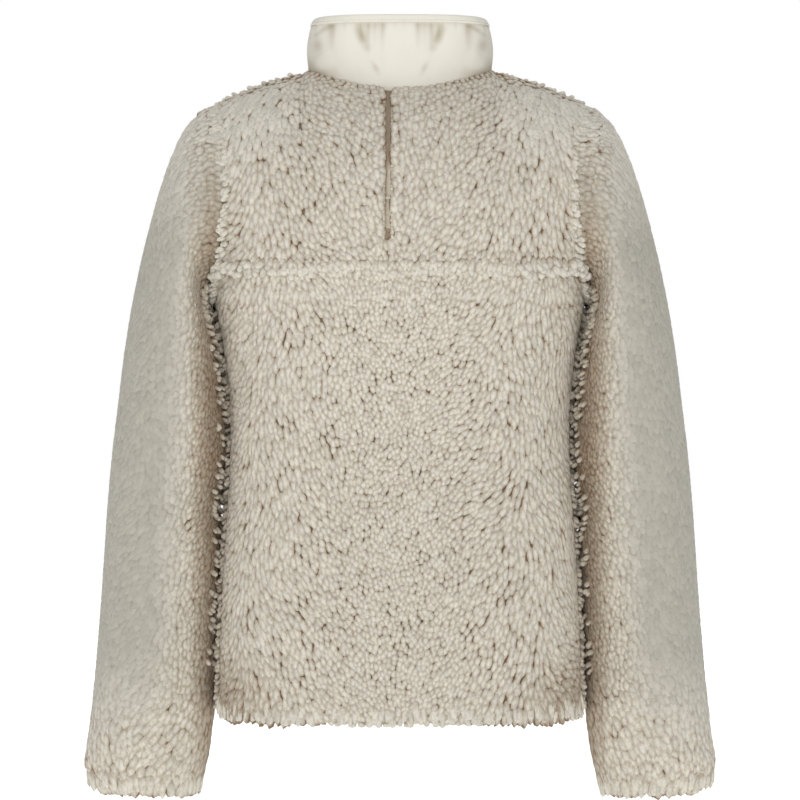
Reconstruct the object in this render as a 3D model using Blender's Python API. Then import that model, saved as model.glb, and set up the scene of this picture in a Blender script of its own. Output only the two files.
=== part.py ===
"""Fleece jacket in its worn form: hollow body, set-in sleeves, stand collar and front zip.

The jacket stands upright with +Z up. Its back faces +Y, its front faces -Y, and the wearer's left
arm is at +X. Z = 0 is the side of the neck, where the shoulder seams begin. The sizes below are in
millimetres. Each cloth piece is a window of one outer surface and has a wall of its own.
"""

import math

import bmesh
import bpy
import numpy as np
from mathutils import Vector

MILLIMETRE = 0.001

# Driving sizes in millimetres
GAP = 0.3
SLEEVE_SEAM = 0.5
PILE_WALL = 7.0
COLLAR_WALL = 2.2
ROUNDNESS = 2.4
HEM = -607.0
HEM_ROUND = 2.4
HEM_ROUND_REACH = 7.0
UNDERARM = -217.0
SHOULDER_POINT = -31.0
ARMHOLE_HALF_DEPTH = 75.0
NECK_HALF_WIDTH = 90.0
NECK_BACK = (56.0, -20.0)
NECK_FRONT = (-81.0, -62.0)
NECK_BACK_TURN = math.radians(72.0)
NECK_FRONT_TURN = math.radians(58.0)
NECK_SHARE = 0.6
SHOULDER_BOW = 3.0
NECK_EDGE_TILT = math.radians(54.0)
ARMHOLE_MIDDLE = (UNDERARM + SHOULDER_POINT) / 2
ARMHOLE_HALF_HEIGHT = (SHOULDER_POINT - UNDERARM) / 2

# The back's seams
YOKE_TURN = 45.0
YOKE_RIDGE = 1.6
YOKE_RIDGE_REACH = 7.0
YOKE_SPLIT = 11.0
YOKE_GROOVE = 2.2
YOKE_GROOVE_END = -172.0
TAPE_STRIP_END = -161.0
TAPE_STRIP_DEPTH = 3.4
TAPE_STRIP_THICK = 2.0

# The front zip
ZIP_CHANNEL = 7.0
ZIP_TEETH_HALF = 2.7
ZIP_TEETH_RISE = 1.6
ZIP_TAPE_REACH = 12.0
ZIP_TAPE_THICK = 1.2
ZIP_COLLAR_FACE = -72.2
ZIP_TOP = 5.4
ZIP_BOX_HEIGHT = 12.0
ZIP_BOX_RISE = 1.0
ZIP_NECK_BELOW = 7.0
ZIP_NECK_ABOVE = 1.0
ZIP_TEETH_END = 2.0
SLIDER_LENGTH = 12.0
SLIDER_DROP = 7.5
SLIDER_HALF_WIDTH = 4.5
SLIDER_PLATE = 1.3
SLIDER_BACK_PLATE = 0.7
SLIDER_OVERLAP = 0.5
SLIDER_POST_HALF = 1.2
SLIDER_POST_LOW = 2.6
SLIDER_POST_HIGH = 0.4
BAIL_HALF_LENGTH = 4.2
BAIL_HALF_WIDTH = 0.8
BAIL_ROUND = 1.0
BAIL_THICK = 1.6
BAIL_CLEAR = 0.4
PULL_AXIS_RISE = 1.7
PULL_BAR = 0.7
PULL_BAR_SIDES = 12
PULL_THICK = 0.63
PULL_LENGTH = 29.0
PULL_HALF_WIDTH = 3.0
PULL_EYE_HALF = 2.8
PULL_BAR_HALF = 2.6
PULL_NECK = 9.0
PULL_SHOULDER = 4.0
PULL_CORNER = 2.0
PULL_CORNER_WIDTH = 1.5
PULL_WINDOW_HALF = 1.4
PULL_WINDOW = (0.5, -6.4)

# The collar
COLLAR_TOP_HALF_WIDTH = 81.6
COLLAR_TOP_HALF_DEPTH = 64.0
COLLAR_MIDDLE_Y = -10.0
COLLAR_TOP_BACK = 49.0
COLLAR_TURN = 8.0
COLLAR_ROUNDNESS = 2.9
COLLAR_TOP_FRONT = 13.0
COLLAR_BULGE = 2.4
CASING_HEIGHT = 6.8
CASING_WALL = 2.8
COLLAR_SEAT = 4.4
COLLAR_RISE = 0.13
COLLAR_GAP = 0.5
COLLAR_FOOT_DEPTH = 6.6
COLLAR_OPENING = 5.8
COLLAR_OPENING_DEPTH = 1.2
COLLAR_DIP = 1.3
COLLAR_LEVELS = (COLLAR_RISE, 0.34, 0.54, 0.72, 0.85, 0.94, 1.0)
CASING_LEVELS = ((CASING_HEIGHT, 0.0), (4.8, 0.7), (1.6, 0.6), (0.0, -0.3))
GATHER_FADE = 1.6
GATHER_START = 2.5

# How finely the body is divided, and small steps along it
COLUMNS = 10
FRONT_FIRST_COLUMN = 0.04
LEAST_COLUMN = 0.03
TAPE_STRIP_ROWS = 14
TAPE_STRIP_FROM = 0.12
TAPE_STRIP_TO = 0.012
STEP = 0.002
SAME = 1e-6


def table(columns, rows):
    """A short table whose columns are read by name."""
    return np.array(rows, dtype=[(name, float) for name in columns])


# Horizontal sections of the body, from the hem to the yoke
BODY = table(("height", "half_width", "back", "front"), [
    (-607, 173.0, 118, 116),
    (-560, 172.0, 121, 118),
    (-500, 169.5, 122, 120),
    (-445, 166.0, 120, 121),
    (-380, 162.0, 118, 122),
    (-320, 161.5, 119, 124),
    (-260, 168.0, 123, 126),
    (-217, 176.0, 126, 127),
    (-180, 176.0, 126, 124),
])

# Half the width across the back, read along the armhole seam
ARMHOLE = table(("height", "half_width"), [
    (-217, 176.0),
    (-190, 170.5),
    (-165, 166.0),
    (-130, 163.0),
    (-90, 163.0),
    (-60, 167.0),
    (-31, 174.0),
])

# Turns about the armhole, from the underarm at 0 to the shoulder point at 180
ARMHOLE_TURNS = np.array([0, 18, 32, 40, 45, 50, 60, 75, 93, 111, 129, 147, 164, 180.0])

# Sleeve sections: the outer and the inner side seen from behind, half the depth, and the middle's Y
SLEEVE = table(("outer_x", "outer_z", "inner_x", "inner_z", "half_depth", "middle", "hollow"), [
    (188.0, -37, 179.5, -213.0, 78, 1, 9.0),
    (203.0, -53, 182.0, -215.5, 79, 2, 5.0),
    (216.0, -79, 181.6, -222.0, 78, 3, 2.0),
    (229.0, -117, 178.4, -236.5, 76, 4, 0.5),
    (242.0, -165, 173.2, -259.0, 74, 4, 0.0),
    (253.0, -215, 168.6, -287.0, 72, 3, 0.0),
    (261.5, -265, 165.4, -319.0, 70, 1, 0.0),
    (267.5, -312, 164.8, -352.0, 68, -2, 0.0),
    (273.2, -357, 165.4, -386.0, 67, -5, 0.0),
    (278.0, -405, 167.2, -423.0, 65, -8, 0.0),
    (281.3, -450, 169.4, -460.0, 63, -11, 0.0),
    (284.6, -495, 171.6, -500.0, 61, -14, 0.0),
    (288.4, -540, 173.6, -542.0, 59, -17, 0.0),
    (292.2, -580, 175.0, -582.0, 57, -20, 0.0),
    (296.0, -613, 178.0, -615.0, 55, -22, 0.0),
    (299.6, -640, 181.0, -642.0, 53, -23, 0.0),
    (301.4, -660, 185.0, -661.0, 50, -24, 0.0),
    (292.0, -680, 190.0, -681.0, 44, -24, 0.0),
])

# Soft folds of the sleeve: the section, the turn, how far they reach and how deep they are
SLEEVE_FOLDS = table(("section", "turn", "sections", "turns", "depth"), [
    (3.6, 40, 1.5, 26, 3.2),
    (6.5, 48, 1.0, 30, 2.0),
    (8.4, 20, 0.8, 40, -1.8),
    (9.6, 34, 0.8, 40, 2.6),
    (10.8, 15, 0.8, 38, -1.0),
    (13.4, 52, 1.0, 34, 2.2),
    (14.7, 30, 0.7, 40, -1.4),
    (6.0, 320, 1.0, 34, 2.0),
    (9.2, 330, 0.9, 40, 3.4),
    (10.3, 345, 0.8, 40, 2.6),
    (13.8, 318, 1.1, 36, 2.2),
])

# Soft hollows of the body: side (1 back, -1 front), place, reach and depth
BODY_FOLDS = table(("side", "x", "z", "reach_x", "reach_z", "depth"), [
    (1, 64, -120, 26, 70, 1.8),
    (1, -64, -120, 26, 70, 1.8),
    (1, 138, -250, 16, 60, 1.6),
    (1, -138, -250, 16, 60, 1.6),
    (1, 0, -360, 70, 90, 2.0),
    (1, 150, -560, 24, 50, 1.6),
    (1, -150, -560, 24, 50, 1.6),
    (-1, 110, -240, 20, 70, 2.4),
    (-1, -110, -240, 20, 70, 2.4),
    (-1, 90, -400, 22, 110, 1.8),
    (-1, -90, -400, 22, 110, 1.8),
])

# Gathers under the collar's casing, by their distance from the middle of the back, round the neck
GATHERS = table(("place", "reach", "drop", "depth"), [
    (-37.0, 2.6, 15, 0.9),
    (-30.0, 2.4, 19, 1.3),
    (-23.5, 2.2, 13, 1.1),
    (-16.5, 2.4, 17, 1.3),
    (17.0, 2.4, 16, 1.3),
    (23.0, 2.2, 13, 1.0),
    (29.5, 2.4, 19, 1.3),
    (36.5, 2.6, 14, 0.9),
    (66.0, 5.0, 26, 1.2),
    (-66.0, 5.0, 26, 1.2),
    (-150.0, 2.8, 16, 1.1),
    (-142.0, 2.6, 18, 1.2),
    (-134.0, 2.8, 14, 1.0),
    (134.0, 2.8, 14, 1.0),
    (142.0, 2.6, 18, 1.2),
    (150.0, 2.8, 16, 1.1),
])
GATHER_ZONES = ((10.0, 43.0), (127.0, 157.0))
GATHER_COLUMN = 3.3

# Colours, roughness
PILE_CREAM = (0.545, 0.505, 0.427, 1.0)
WOVEN_CREAM = (0.80, 0.77, 0.68, 1.0)
SEAM_CREAM = (0.66, 0.61, 0.52, 1.0)
TAPE_CREAM = (0.70, 0.67, 0.58, 1.0)
ZIP_IVORY = (0.76, 0.73, 0.64, 1.0)
ZIP_METAL = (0.62, 0.61, 0.58, 1.0)


def smooth(keys, values, at):
    """Read a column between its rows on a smooth curve, with the rows' own mean slopes."""
    slopes = np.gradient(values, keys)
    at = np.asarray(at, dtype=float)
    place = np.clip(np.searchsorted(keys, at) - 1, 0, len(keys) - 2)
    span = keys[place + 1] - keys[place]
    t = np.clip((at - keys[place]) / span, -0.2, 1.2)
    start = (2 * t**3 - 3 * t**2 + 1) * values[place] + (t**3 - 2 * t**2 + t) * span * slopes[place]
    end = (3 * t**2 - 2 * t**3) * values[place + 1] + (t**3 - t**2) * span * slopes[place + 1]
    return start + end


def unit(vectors):
    """Vectors of length one."""
    return vectors / np.maximum(np.linalg.norm(vectors, axis=-1, keepdims=True), 1e-9)


def armhole_edge(turn):
    """The armhole seam on the +X side at a turn in radians: x, distance from y = 0, and z."""
    z = ARMHOLE_MIDDLE - ARMHOLE_HALF_HEIGHT * np.cos(turn)
    y = ARMHOLE_HALF_DEPTH * np.sin(turn)
    x = smooth(ARMHOLE["height"], ARMHOLE["half_width"], z)
    return x, y, z


def level_row(side, u, edge_x, edge_y, z):
    """A level section: the rounded rectangle with this depth that passes through the row's edge."""
    depth = smooth(BODY["height"], BODY["back"] if side > 0 else BODY["front"], z)
    reach = edge_x / (1 - np.abs(edge_y / depth) ** ROUNDNESS) ** (1 / ROUNDNESS)
    angle = math.pi / 2 - np.abs(u) * (math.pi / 2 - np.arctan2(edge_y, edge_x))
    across = np.abs(np.cos(angle) / reach) ** ROUNDNESS
    along = np.abs(np.sin(angle) / depth) ** ROUNDNESS
    radius = (across + along) ** (-1 / ROUNDNESS)
    x = radius * np.cos(angle)
    return np.stack([x, side * radius * np.sin(angle), z + 0 * x], axis=-1)


def neck_and_shoulder(side, u):
    """The top edge of a panel: a quarter of the neckline, then the shoulder seam."""
    middle_y, middle_z = NECK_BACK if side > 0 else NECK_FRONT
    neck_turn = np.minimum(u / NECK_SHARE, 1.0) * math.pi / 2
    out = np.maximum((u - NECK_SHARE) / (1 - NECK_SHARE), 0.0)
    edge_x = ARMHOLE["half_width"][-1]
    x = NECK_HALF_WIDTH * np.sin(neck_turn) + (edge_x - NECK_HALF_WIDTH) * out
    y = middle_y * np.cos(neck_turn)
    z = middle_z * np.cos(neck_turn) ** 2 + SHOULDER_POINT * out + SHOULDER_BOW * 4 * out * (1 - out)
    return np.stack([x, y, z], axis=-1)


def middle_line(side, rise):
    """The centre line from the yoke's level (rise 0) to the neck (rise 1), rounding forwards."""
    foot_z = ARMHOLE_MIDDLE - ARMHOLE_HALF_HEIGHT * math.cos(math.radians(YOKE_TURN))
    foot_y = side * smooth(BODY["height"], BODY["back"] if side > 0 else BODY["front"], foot_z)
    top_y, top_z = NECK_BACK if side > 0 else NECK_FRONT
    last = NECK_BACK_TURN if side > 0 else NECK_FRONT_TURN
    turn = rise * last
    fall = (np.cos(turn) - math.cos(last)) / (1 - math.cos(last))
    climb = np.sin(turn) / math.sin(last)
    x = 0 * turn
    return np.stack([x, top_y + (foot_y - top_y) * fall, foot_z + (top_z - foot_z) * climb], axis=-1)


def torso(side, u, v):
    """The torso's outer surface. u runs from the middle (0) to the side or armhole (1 or -1), and v
    from the hem (0) past the underarm (1) to the neck and shoulder seam (2). Up to the yoke's level
    the rows are level sections, and above it each point is a blend of the panel's four edges."""
    q = np.abs(u)
    v = np.asarray(v, dtype=float)
    yoke = math.radians(YOKE_TURN)
    turn = np.maximum(v - 1, 0.0) * math.pi
    low_turn = np.minimum(turn, yoke)
    edge_x, edge_y, edge_z = armhole_edge(low_turn)
    body_z = HEM + np.minimum(v, 1.0) * (UNDERARM - HEM)
    below = v <= 1
    width = smooth(BODY["height"], BODY["half_width"], body_z)
    low = level_row(side, q, np.where(below, width, edge_x), np.where(below, 0.0, edge_y),
                    np.where(below, body_z, edge_z))
    rise = np.maximum((turn - yoke) / (math.pi - yoke), 0.0)[..., None]
    share = q[..., None]
    foot = level_row(side, q, *armhole_edge(yoke + 0 * q))
    top = neck_and_shoulder(side, q)
    high_x, high_y, high_z = armhole_edge(np.maximum(turn, yoke))
    edge = np.stack([high_x, side * high_y, high_z], axis=-1)
    middle = middle_line(side, rise[..., 0])
    foot_middle = middle_line(side, np.zeros(1))
    top_middle = middle_line(side, np.ones(1))
    foot_edge = level_row(side, np.ones(1), *armhole_edge(np.array([yoke])))
    top_edge = neck_and_shoulder(side, np.ones(1))
    corners = ((1 - rise) * ((1 - share) * foot_middle + share * foot_edge)
               + rise * ((1 - share) * top_middle + share * top_edge))
    high = (1 - rise) * foot + rise * top + (1 - share) * middle + share * edge - corners
    points = np.where(rise > 0, high, low)
    points[..., 0] *= np.where(u < 0, -1.0, 1.0)
    return points


def torso_normal(side, u, v):
    """The way out of the cloth, from small steps along the surface."""
    across = torso(side, u + STEP, v) - torso(side, u - STEP, v)
    up = torso(side, u, v + STEP) - torso(side, u, v - STEP)
    return unit(np.cross(across, up) * -side)


def torso_grid(side, columns, rows):
    """Outer points with the body's soft hollows and the yoke's ridge, and the way out at each."""
    u, v = np.meshgrid(columns, rows)
    points = torso(side, u, v)
    out = torso_normal(side, u, v)
    push = np.zeros(u.shape)
    for fold in BODY_FOLDS[BODY_FOLDS["side"] == side]:
        far = ((points[..., 0] - fold["x"]) / fold["reach_x"]) ** 2
        far = far + ((points[..., 2] - fold["z"]) / fold["reach_z"]) ** 2
        push = push - fold["depth"] * np.exp(-far)
    if side > 0:
        seam = ARMHOLE_MIDDLE - ARMHOLE_HALF_HEIGHT * math.cos(math.radians(YOKE_TURN))
        push = push + YOKE_RIDGE * np.exp(-((points[..., 2] - seam) / YOKE_RIDGE_REACH) ** 2)
    return points + push[..., None] * out, out


def draw_in(grid, edge, distance=GAP / 2):
    """Move one edge of a grid of points towards its neighbour row or column by half the seam's gap."""
    grid = grid.copy()
    if edge == "first_row":
        grid[0] += distance * unit(grid[1] - grid[0])
    elif edge == "last_row":
        grid[-1] += distance * unit(grid[-2] - grid[-1])
    elif edge == "first_column":
        grid[:, 0] += distance * unit(grid[:, 1] - grid[:, 0])
    else:
        grid[:, -1] += distance * unit(grid[:, -2] - grid[:, -1])
    return grid


def make_material(name, colour, roughness, metallic=0.0):
    """A Principled BSDF material."""
    material = bpy.data.materials.new(name)
    material.use_nodes = True
    shader = material.node_tree.nodes["Principled BSDF"]
    shader.inputs["Base Color"].default_value = colour
    shader.inputs["Roughness"].default_value = roughness
    shader.inputs["Metallic"].default_value = metallic
    material.diffuse_color = colour
    return material


def add_object(name, mesh, material, location=(0.0, 0.0, 0.0)):
    """Put a mesh into the jacket's collection under the jacket's empty."""
    mesh.materials.clear()
    mesh.materials.append(material)
    thing = bpy.data.objects.new(name, mesh)
    thing.location = location
    thing.parent = stand
    jacket.objects.link(thing)
    return thing


def wall(name, outer, inner, material, round_columns=False):
    """A cloth wall between an outer and an inner grid of points, closed along its edges."""
    rows, columns = outer.shape[:2]
    points = np.concatenate([outer.reshape(-1, 3), inner.reshape(-1, 3)]) * MILLIMETRE
    index = np.arange(rows * columns).reshape(rows, columns)
    if round_columns:
        index = np.concatenate([index, index[:, :1]], axis=1)
    under = index + rows * columns
    faces = []
    for sheet, turned in ((index, False), (under, True)):
        quads = np.stack([sheet[:-1, :-1], sheet[:-1, 1:], sheet[1:, 1:], sheet[1:, :-1]], axis=-1)
        quads = quads.reshape(-1, 4)
        faces += (quads[:, ::-1] if turned else quads).tolist()
    rims = [(index[0], under[0]), (index[-1, ::-1], under[-1, ::-1])]
    if not round_columns:
        rims += [(index[::-1, 0], under[::-1, 0]), (index[:, -1], under[:, -1])]
    for top, low in rims:
        quads = np.stack([top[1:], top[:-1], low[:-1], low[1:]], axis=-1)
        first = np.linalg.norm(points[quads[:, 0]] - points[quads[:, 2]], axis=1)
        second = np.linalg.norm(points[quads[:, 1]] - points[quads[:, 3]], axis=1)
        across = first < second
        faces += quads[across][:, [0, 1, 2]].tolist() + quads[across][:, [0, 2, 3]].tolist()
        faces += quads[~across][:, [0, 1, 3]].tolist() + quads[~across][:, [1, 2, 3]].tolist()
    mesh = bpy.data.meshes.new(name)
    mesh.from_pydata(points.tolist(), [], faces)
    tidy = bmesh.new()
    tidy.from_mesh(mesh)
    bmesh.ops.recalc_face_normals(tidy, faces=tidy.faces)
    if tidy.calc_volume(signed=True) < 0:
        bmesh.ops.reverse_faces(tidy, faces=tidy.faces)
    tidy.to_mesh(mesh)
    tidy.free()
    mesh.shade_smooth()
    mesh.set_sharp_from_angle(angle=math.radians(50))
    return add_object(name, mesh, material)


def panel(name, outer, inner, edges):
    """A pile panel: its wall, with the named edges drawn in by half a seam's gap."""
    for edge in edges:
        outer = draw_in(outer, edge)
        inner = draw_in(inner, edge)
    return wall(name, outer, inner, pile)


def body_rows():
    """Rows of the torso: the hem to the underarm, the armhole up to the yoke, and the rest."""
    lower = np.array([0.0, 0.02, 0.07, 0.17, 0.29, 0.41, 0.53, 0.65, 0.77, 0.89])
    upper = 1 + ARMHOLE_TURNS / 180
    yoke = 1 + YOKE_TURN / 180
    return lower, upper[upper <= yoke + SAME], upper[upper >= yoke - SAME]


def hem_round(grid, out):
    """Round the pile off at the hem: the outer face draws in towards the lowest row."""
    drop = HEM_ROUND * np.exp(-((grid[..., 2] - HEM) / HEM_ROUND_REACH) ** 2)
    return grid - drop[..., None] * out


def build_back():
    """The back below the yoke, from side seam to side seam."""
    lower, armhole, _ = body_rows()
    rows = np.concatenate([lower, armhole])
    outer, out = torso_grid(1, np.linspace(-1, 1, 2 * COLUMNS + 1), rows)
    inner = outer - PILE_WALL * out
    outer = hem_round(outer, out)
    return panel("back", outer, inner, ("first_column", "last_column", "last_row"))


def top_edge_normals(points, out, columns, rows, side):
    """The way out along a panel's top edge: the same for the back and the fronts on the shoulder
    seam, and up and away from the neck's middle round the neck, so that the edge isn't twisted."""
    other = torso_normal(-side, columns, np.full(columns.shape, rows[-1]))
    both = unit(out[-1] + other)
    away = unit((points[-1] - np.array([0.0, COLLAR_MIDDLE_Y, 0.0])) * np.array([1.0, 1.0, 0.0]))
    neck = away * math.cos(NECK_EDGE_TILT) + np.array([0.0, 0.0, math.sin(NECK_EDGE_TILT)])
    shoulder = (np.abs(columns) > NECK_SHARE + SAME)[:, None]
    out[-1] = np.where(shoulder, both, neck)
    return out


def neck_part(columns, outer, inner):
    """The part of a panel's top edge that lies on the neck: outer and inner points."""
    on_neck = np.abs(columns) <= NECK_SHARE + SAME
    return outer[-1][on_neck], inner[-1][on_neck]


def build_yoke():
    """The yoke's two halves, with the channel of the short vertical seam between them."""
    _, _, rows = body_rows()
    split = YOKE_SPLIT / NECK_HALF_WIDTH * NECK_SHARE * 2 / math.pi
    even = np.linspace(0, 1, COLUMNS + 1)
    left = np.concatenate([[split], even[even > split + LEAST_COLUMN]])
    right = np.concatenate([-even[::-1][:-1], [0.0, split]])
    necks = []
    for name, columns, seam_column, way in (("yoke_left", left, 0, 1), ("yoke_right", right, -1, -1)):
        outer, out = torso_grid(1, columns, rows)
        out = top_edge_normals(outer, out, columns, rows, 1)
        inner = outer - PILE_WALL * out
        height = outer[:, seam_column, 2]
        channel = np.where(height > YOKE_GROOVE_END, YOKE_GROOVE, GAP / 2)
        for grid in (outer, inner):
            grid[:, seam_column, 0] = YOKE_SPLIT + way * channel
        panel(name, outer, inner, ("first_row", "last_row"))
        necks.append(neck_part(columns, outer, inner))
    return necks


def build_yoke_tape():
    """The flat strip in the yoke's vertical seam, moved in from the yoke's own surface."""
    _, _, rows = body_rows()
    rows = np.linspace(rows[0] + TAPE_STRIP_FROM, rows[-1] - TAPE_STRIP_TO, TAPE_STRIP_ROWS)
    u = YOKE_SPLIT / NECK_HALF_WIDTH * NECK_SHARE * 2 / math.pi
    line = torso(1, np.full(rows.shape, u), rows)
    out = torso_normal(1, np.full(rows.shape, u), rows)
    keep = line[:, 2] > TAPE_STRIP_END
    line, out = line[keep], out[keep]
    half = YOKE_GROOVE - GAP
    sides = np.array([-half, half])
    face = np.repeat((line - TAPE_STRIP_DEPTH * out)[:, None], 2, axis=1)
    face[..., 0] = YOKE_SPLIT + sides
    back = face - TAPE_STRIP_THICK * out[:, None]
    back[..., 0] = YOKE_SPLIT + sides
    return wall("yoke_seam_tape", face, back, seam_tape)


def build_fronts():
    """The two fronts, from the zip to the side seams, armholes and shoulder seams."""
    lower, armhole, upper = body_rows()
    rows = np.concatenate([lower, armhole, upper[1:]])
    even = np.linspace(0, 1, COLUMNS + 1)
    even[0] = FRONT_FIRST_COLUMN
    necks = []
    for name, way in (("front_left", 1), ("front_right", -1)):
        columns = even * way
        outer, out = torso_grid(-1, columns, rows)
        out = top_edge_normals(outer, out, columns, rows, -1)
        inner = outer - PILE_WALL * out
        outer = hem_round(outer, out)
        for grid in (outer, inner):
            grid[:, 0, 0] = way * ZIP_CHANNEL
        panel(name, outer, inner, ("last_row", "last_column"))
        necks.append(neck_part(columns, outer, inner))
    return necks


def armhole_ring():
    """The torso's armhole edge on the +X side, all round: outer points, inner points and the way on."""
    rows = 1 + ARMHOLE_TURNS / 180
    halves = []
    for side in (1, -1):
        outer, out = torso_grid(side, np.array([1 - 1 / COLUMNS, 1.0]), rows)
        out = out.copy()
        other = torso_normal(-side, np.ones(1), rows[-1:])
        out[-1, 1] = unit(out[-1, 1] + other[0])
        on = unit(outer[:, 1] - outer[:, 0])
        halves.append((outer[:, 1], outer[:, 1] - PILE_WALL * out[:, 1], on))
    back, front = halves
    joined = []
    for part in range(3):
        joined.append(np.concatenate([back[part], front[part][1:-1][::-1]]))
    ring_outer, ring_inner, ring_on = joined
    for place, direction in ((0, (0.0, 0.0, 1.0)), (len(ARMHOLE_TURNS) - 1, (1.0, 0.0, -0.3))):
        ring_on[place] = unit(np.array(direction))
    return ring_outer, ring_inner, ring_on


def sleeve_surface():
    """Rings of the sleeve's outer face, from the armhole to the cuff, on the +X side."""
    turns = np.radians(np.concatenate([ARMHOLE_TURNS, 360 - ARMHOLE_TURNS[1:-1][::-1]]))
    ring_outer, ring_inner, ring_on = armhole_ring()
    rings = [ring_outer + SLEEVE_SEAM * ring_on]
    for row in SLEEVE:
        outer = np.array([row["outer_x"], 0.0, row["outer_z"]])
        inner = np.array([row["inner_x"], 0.0, row["inner_z"]])
        middle = (outer + inner) / 2 + np.array([0.0, row["middle"], 0.0])
        half = (outer - inner) / 2
        ring = middle - half * np.cos(turns)[:, None]
        ring[:, 1] += row["half_depth"] * np.sin(turns)
        ring[:, 0] -= row["hollow"] * np.sin(turns) ** 2
        rings.append(ring)
    rings = np.array(rings)
    across = np.roll(rings, -1, axis=1) - np.roll(rings, 1, axis=1)
    along = np.gradient(rings, axis=0)
    out = unit(np.cross(across, along))
    section = np.arange(len(rings))[:, None]
    push = np.zeros(rings.shape[:2])
    for fold in SLEEVE_FOLDS:
        away = np.degrees(turns)[None] - fold["turn"]
        away = (away + 180) % 360 - 180
        shape = ((section - fold["section"]) / fold["sections"]) ** 2 + (away / fold["turns"]) ** 2
        push -= fold["depth"] * np.exp(-shape)
    push[:2] = 0
    rings = rings + push[..., None] * out
    inside = rings - PILE_WALL * out
    inside[0] = ring_inner + SLEEVE_SEAM * ring_on
    return rings, inside


def build_sleeves():
    """Both sleeves: a tube of cloth from the armhole down to the open cuff, and its mirror."""
    rings, inside = sleeve_surface()
    for name, way in (("sleeve_left", 1), ("sleeve_right", -1)):
        flip = np.array([way, 1.0, 1.0])
        wall(name, rings * flip, inside * flip, pile, round_columns=True)


def neck_line(yokes, fronts):
    """The whole neck edge from the left end of the zip round the back to the right end."""
    lines = []
    for face in range(2):
        left = np.concatenate([fronts[0][face], yokes[0][face][::-1][1:]])
        right = np.concatenate([yokes[1][face][::-1], fronts[1][face][::-1][1:]])
        lines.append(np.concatenate([left, right]))
    return lines


def collar_columns(corners):
    """Distances round the neck from the middle of the back: the corners of the neck edge, and more
    of them where the cloth gathers."""
    fine = []
    for start, end in GATHER_ZONES:
        zone = np.arange(start, end, GATHER_COLUMN)
        fine += [zone, -zone]
    fine = np.concatenate(fine)
    clear = np.min(np.abs(fine[:, None] - corners[None]), axis=1) > GATHER_COLUMN / 2
    return np.sort(np.concatenate([corners, fine[clear]]))


def collar_ring(angle, drop):
    """A ring of the collar near its top, at this drop below the edge."""
    opened = 1 - np.exp(-drop / COLLAR_TURN)
    half_width = COLLAR_TOP_HALF_WIDTH + COLLAR_OPENING * opened
    half_depth = COLLAR_TOP_HALF_DEPTH + COLLAR_OPENING_DEPTH * opened
    across = np.abs(np.sin(angle) / half_width) ** COLLAR_ROUNDNESS
    along = np.abs(np.cos(angle) / half_depth) ** COLLAR_ROUNDNESS
    radius = (across + along) ** (-1 / COLLAR_ROUNDNESS)
    x = radius * np.sin(angle)
    y = COLLAR_MIDDLE_Y + radius * np.cos(angle)
    fall = np.clip((COLLAR_MIDDLE_Y - y) / COLLAR_TOP_HALF_DEPTH, 0.0, 1.0)
    z = COLLAR_TOP_BACK - (COLLAR_TOP_BACK - COLLAR_TOP_FRONT) * fall**COLLAR_DIP - drop
    return np.stack([x, y, z], axis=-1)


def spread(line, walked, places):
    """Points of a line at these distances along it."""
    return np.stack([np.interp(places, walked, line[:, axis]) for axis in range(3)], axis=-1)


def gather_depth(places, drop):
    """How far the gathers draw the collar in at this drop below its casing."""
    depth = np.zeros(len(places))
    below = np.maximum(drop, 0.0)
    for pucker in GATHERS:
        near = np.exp(-((places - pucker["place"]) / pucker["reach"]) ** 2)
        fade = np.exp(-below / pucker["drop"] * GATHER_FADE) * np.minimum(below / GATHER_START, 1.0)
        depth += pucker["depth"] * near * fade
    return depth


def end_at_zip(grids):
    """Set the first and the last column of each grid on the edges of the zip's channel."""
    for grid in grids:
        grid[:, 0, 0] = ZIP_CHANNEL
        grid[:, -1, 0] = -ZIP_CHANNEL


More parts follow.
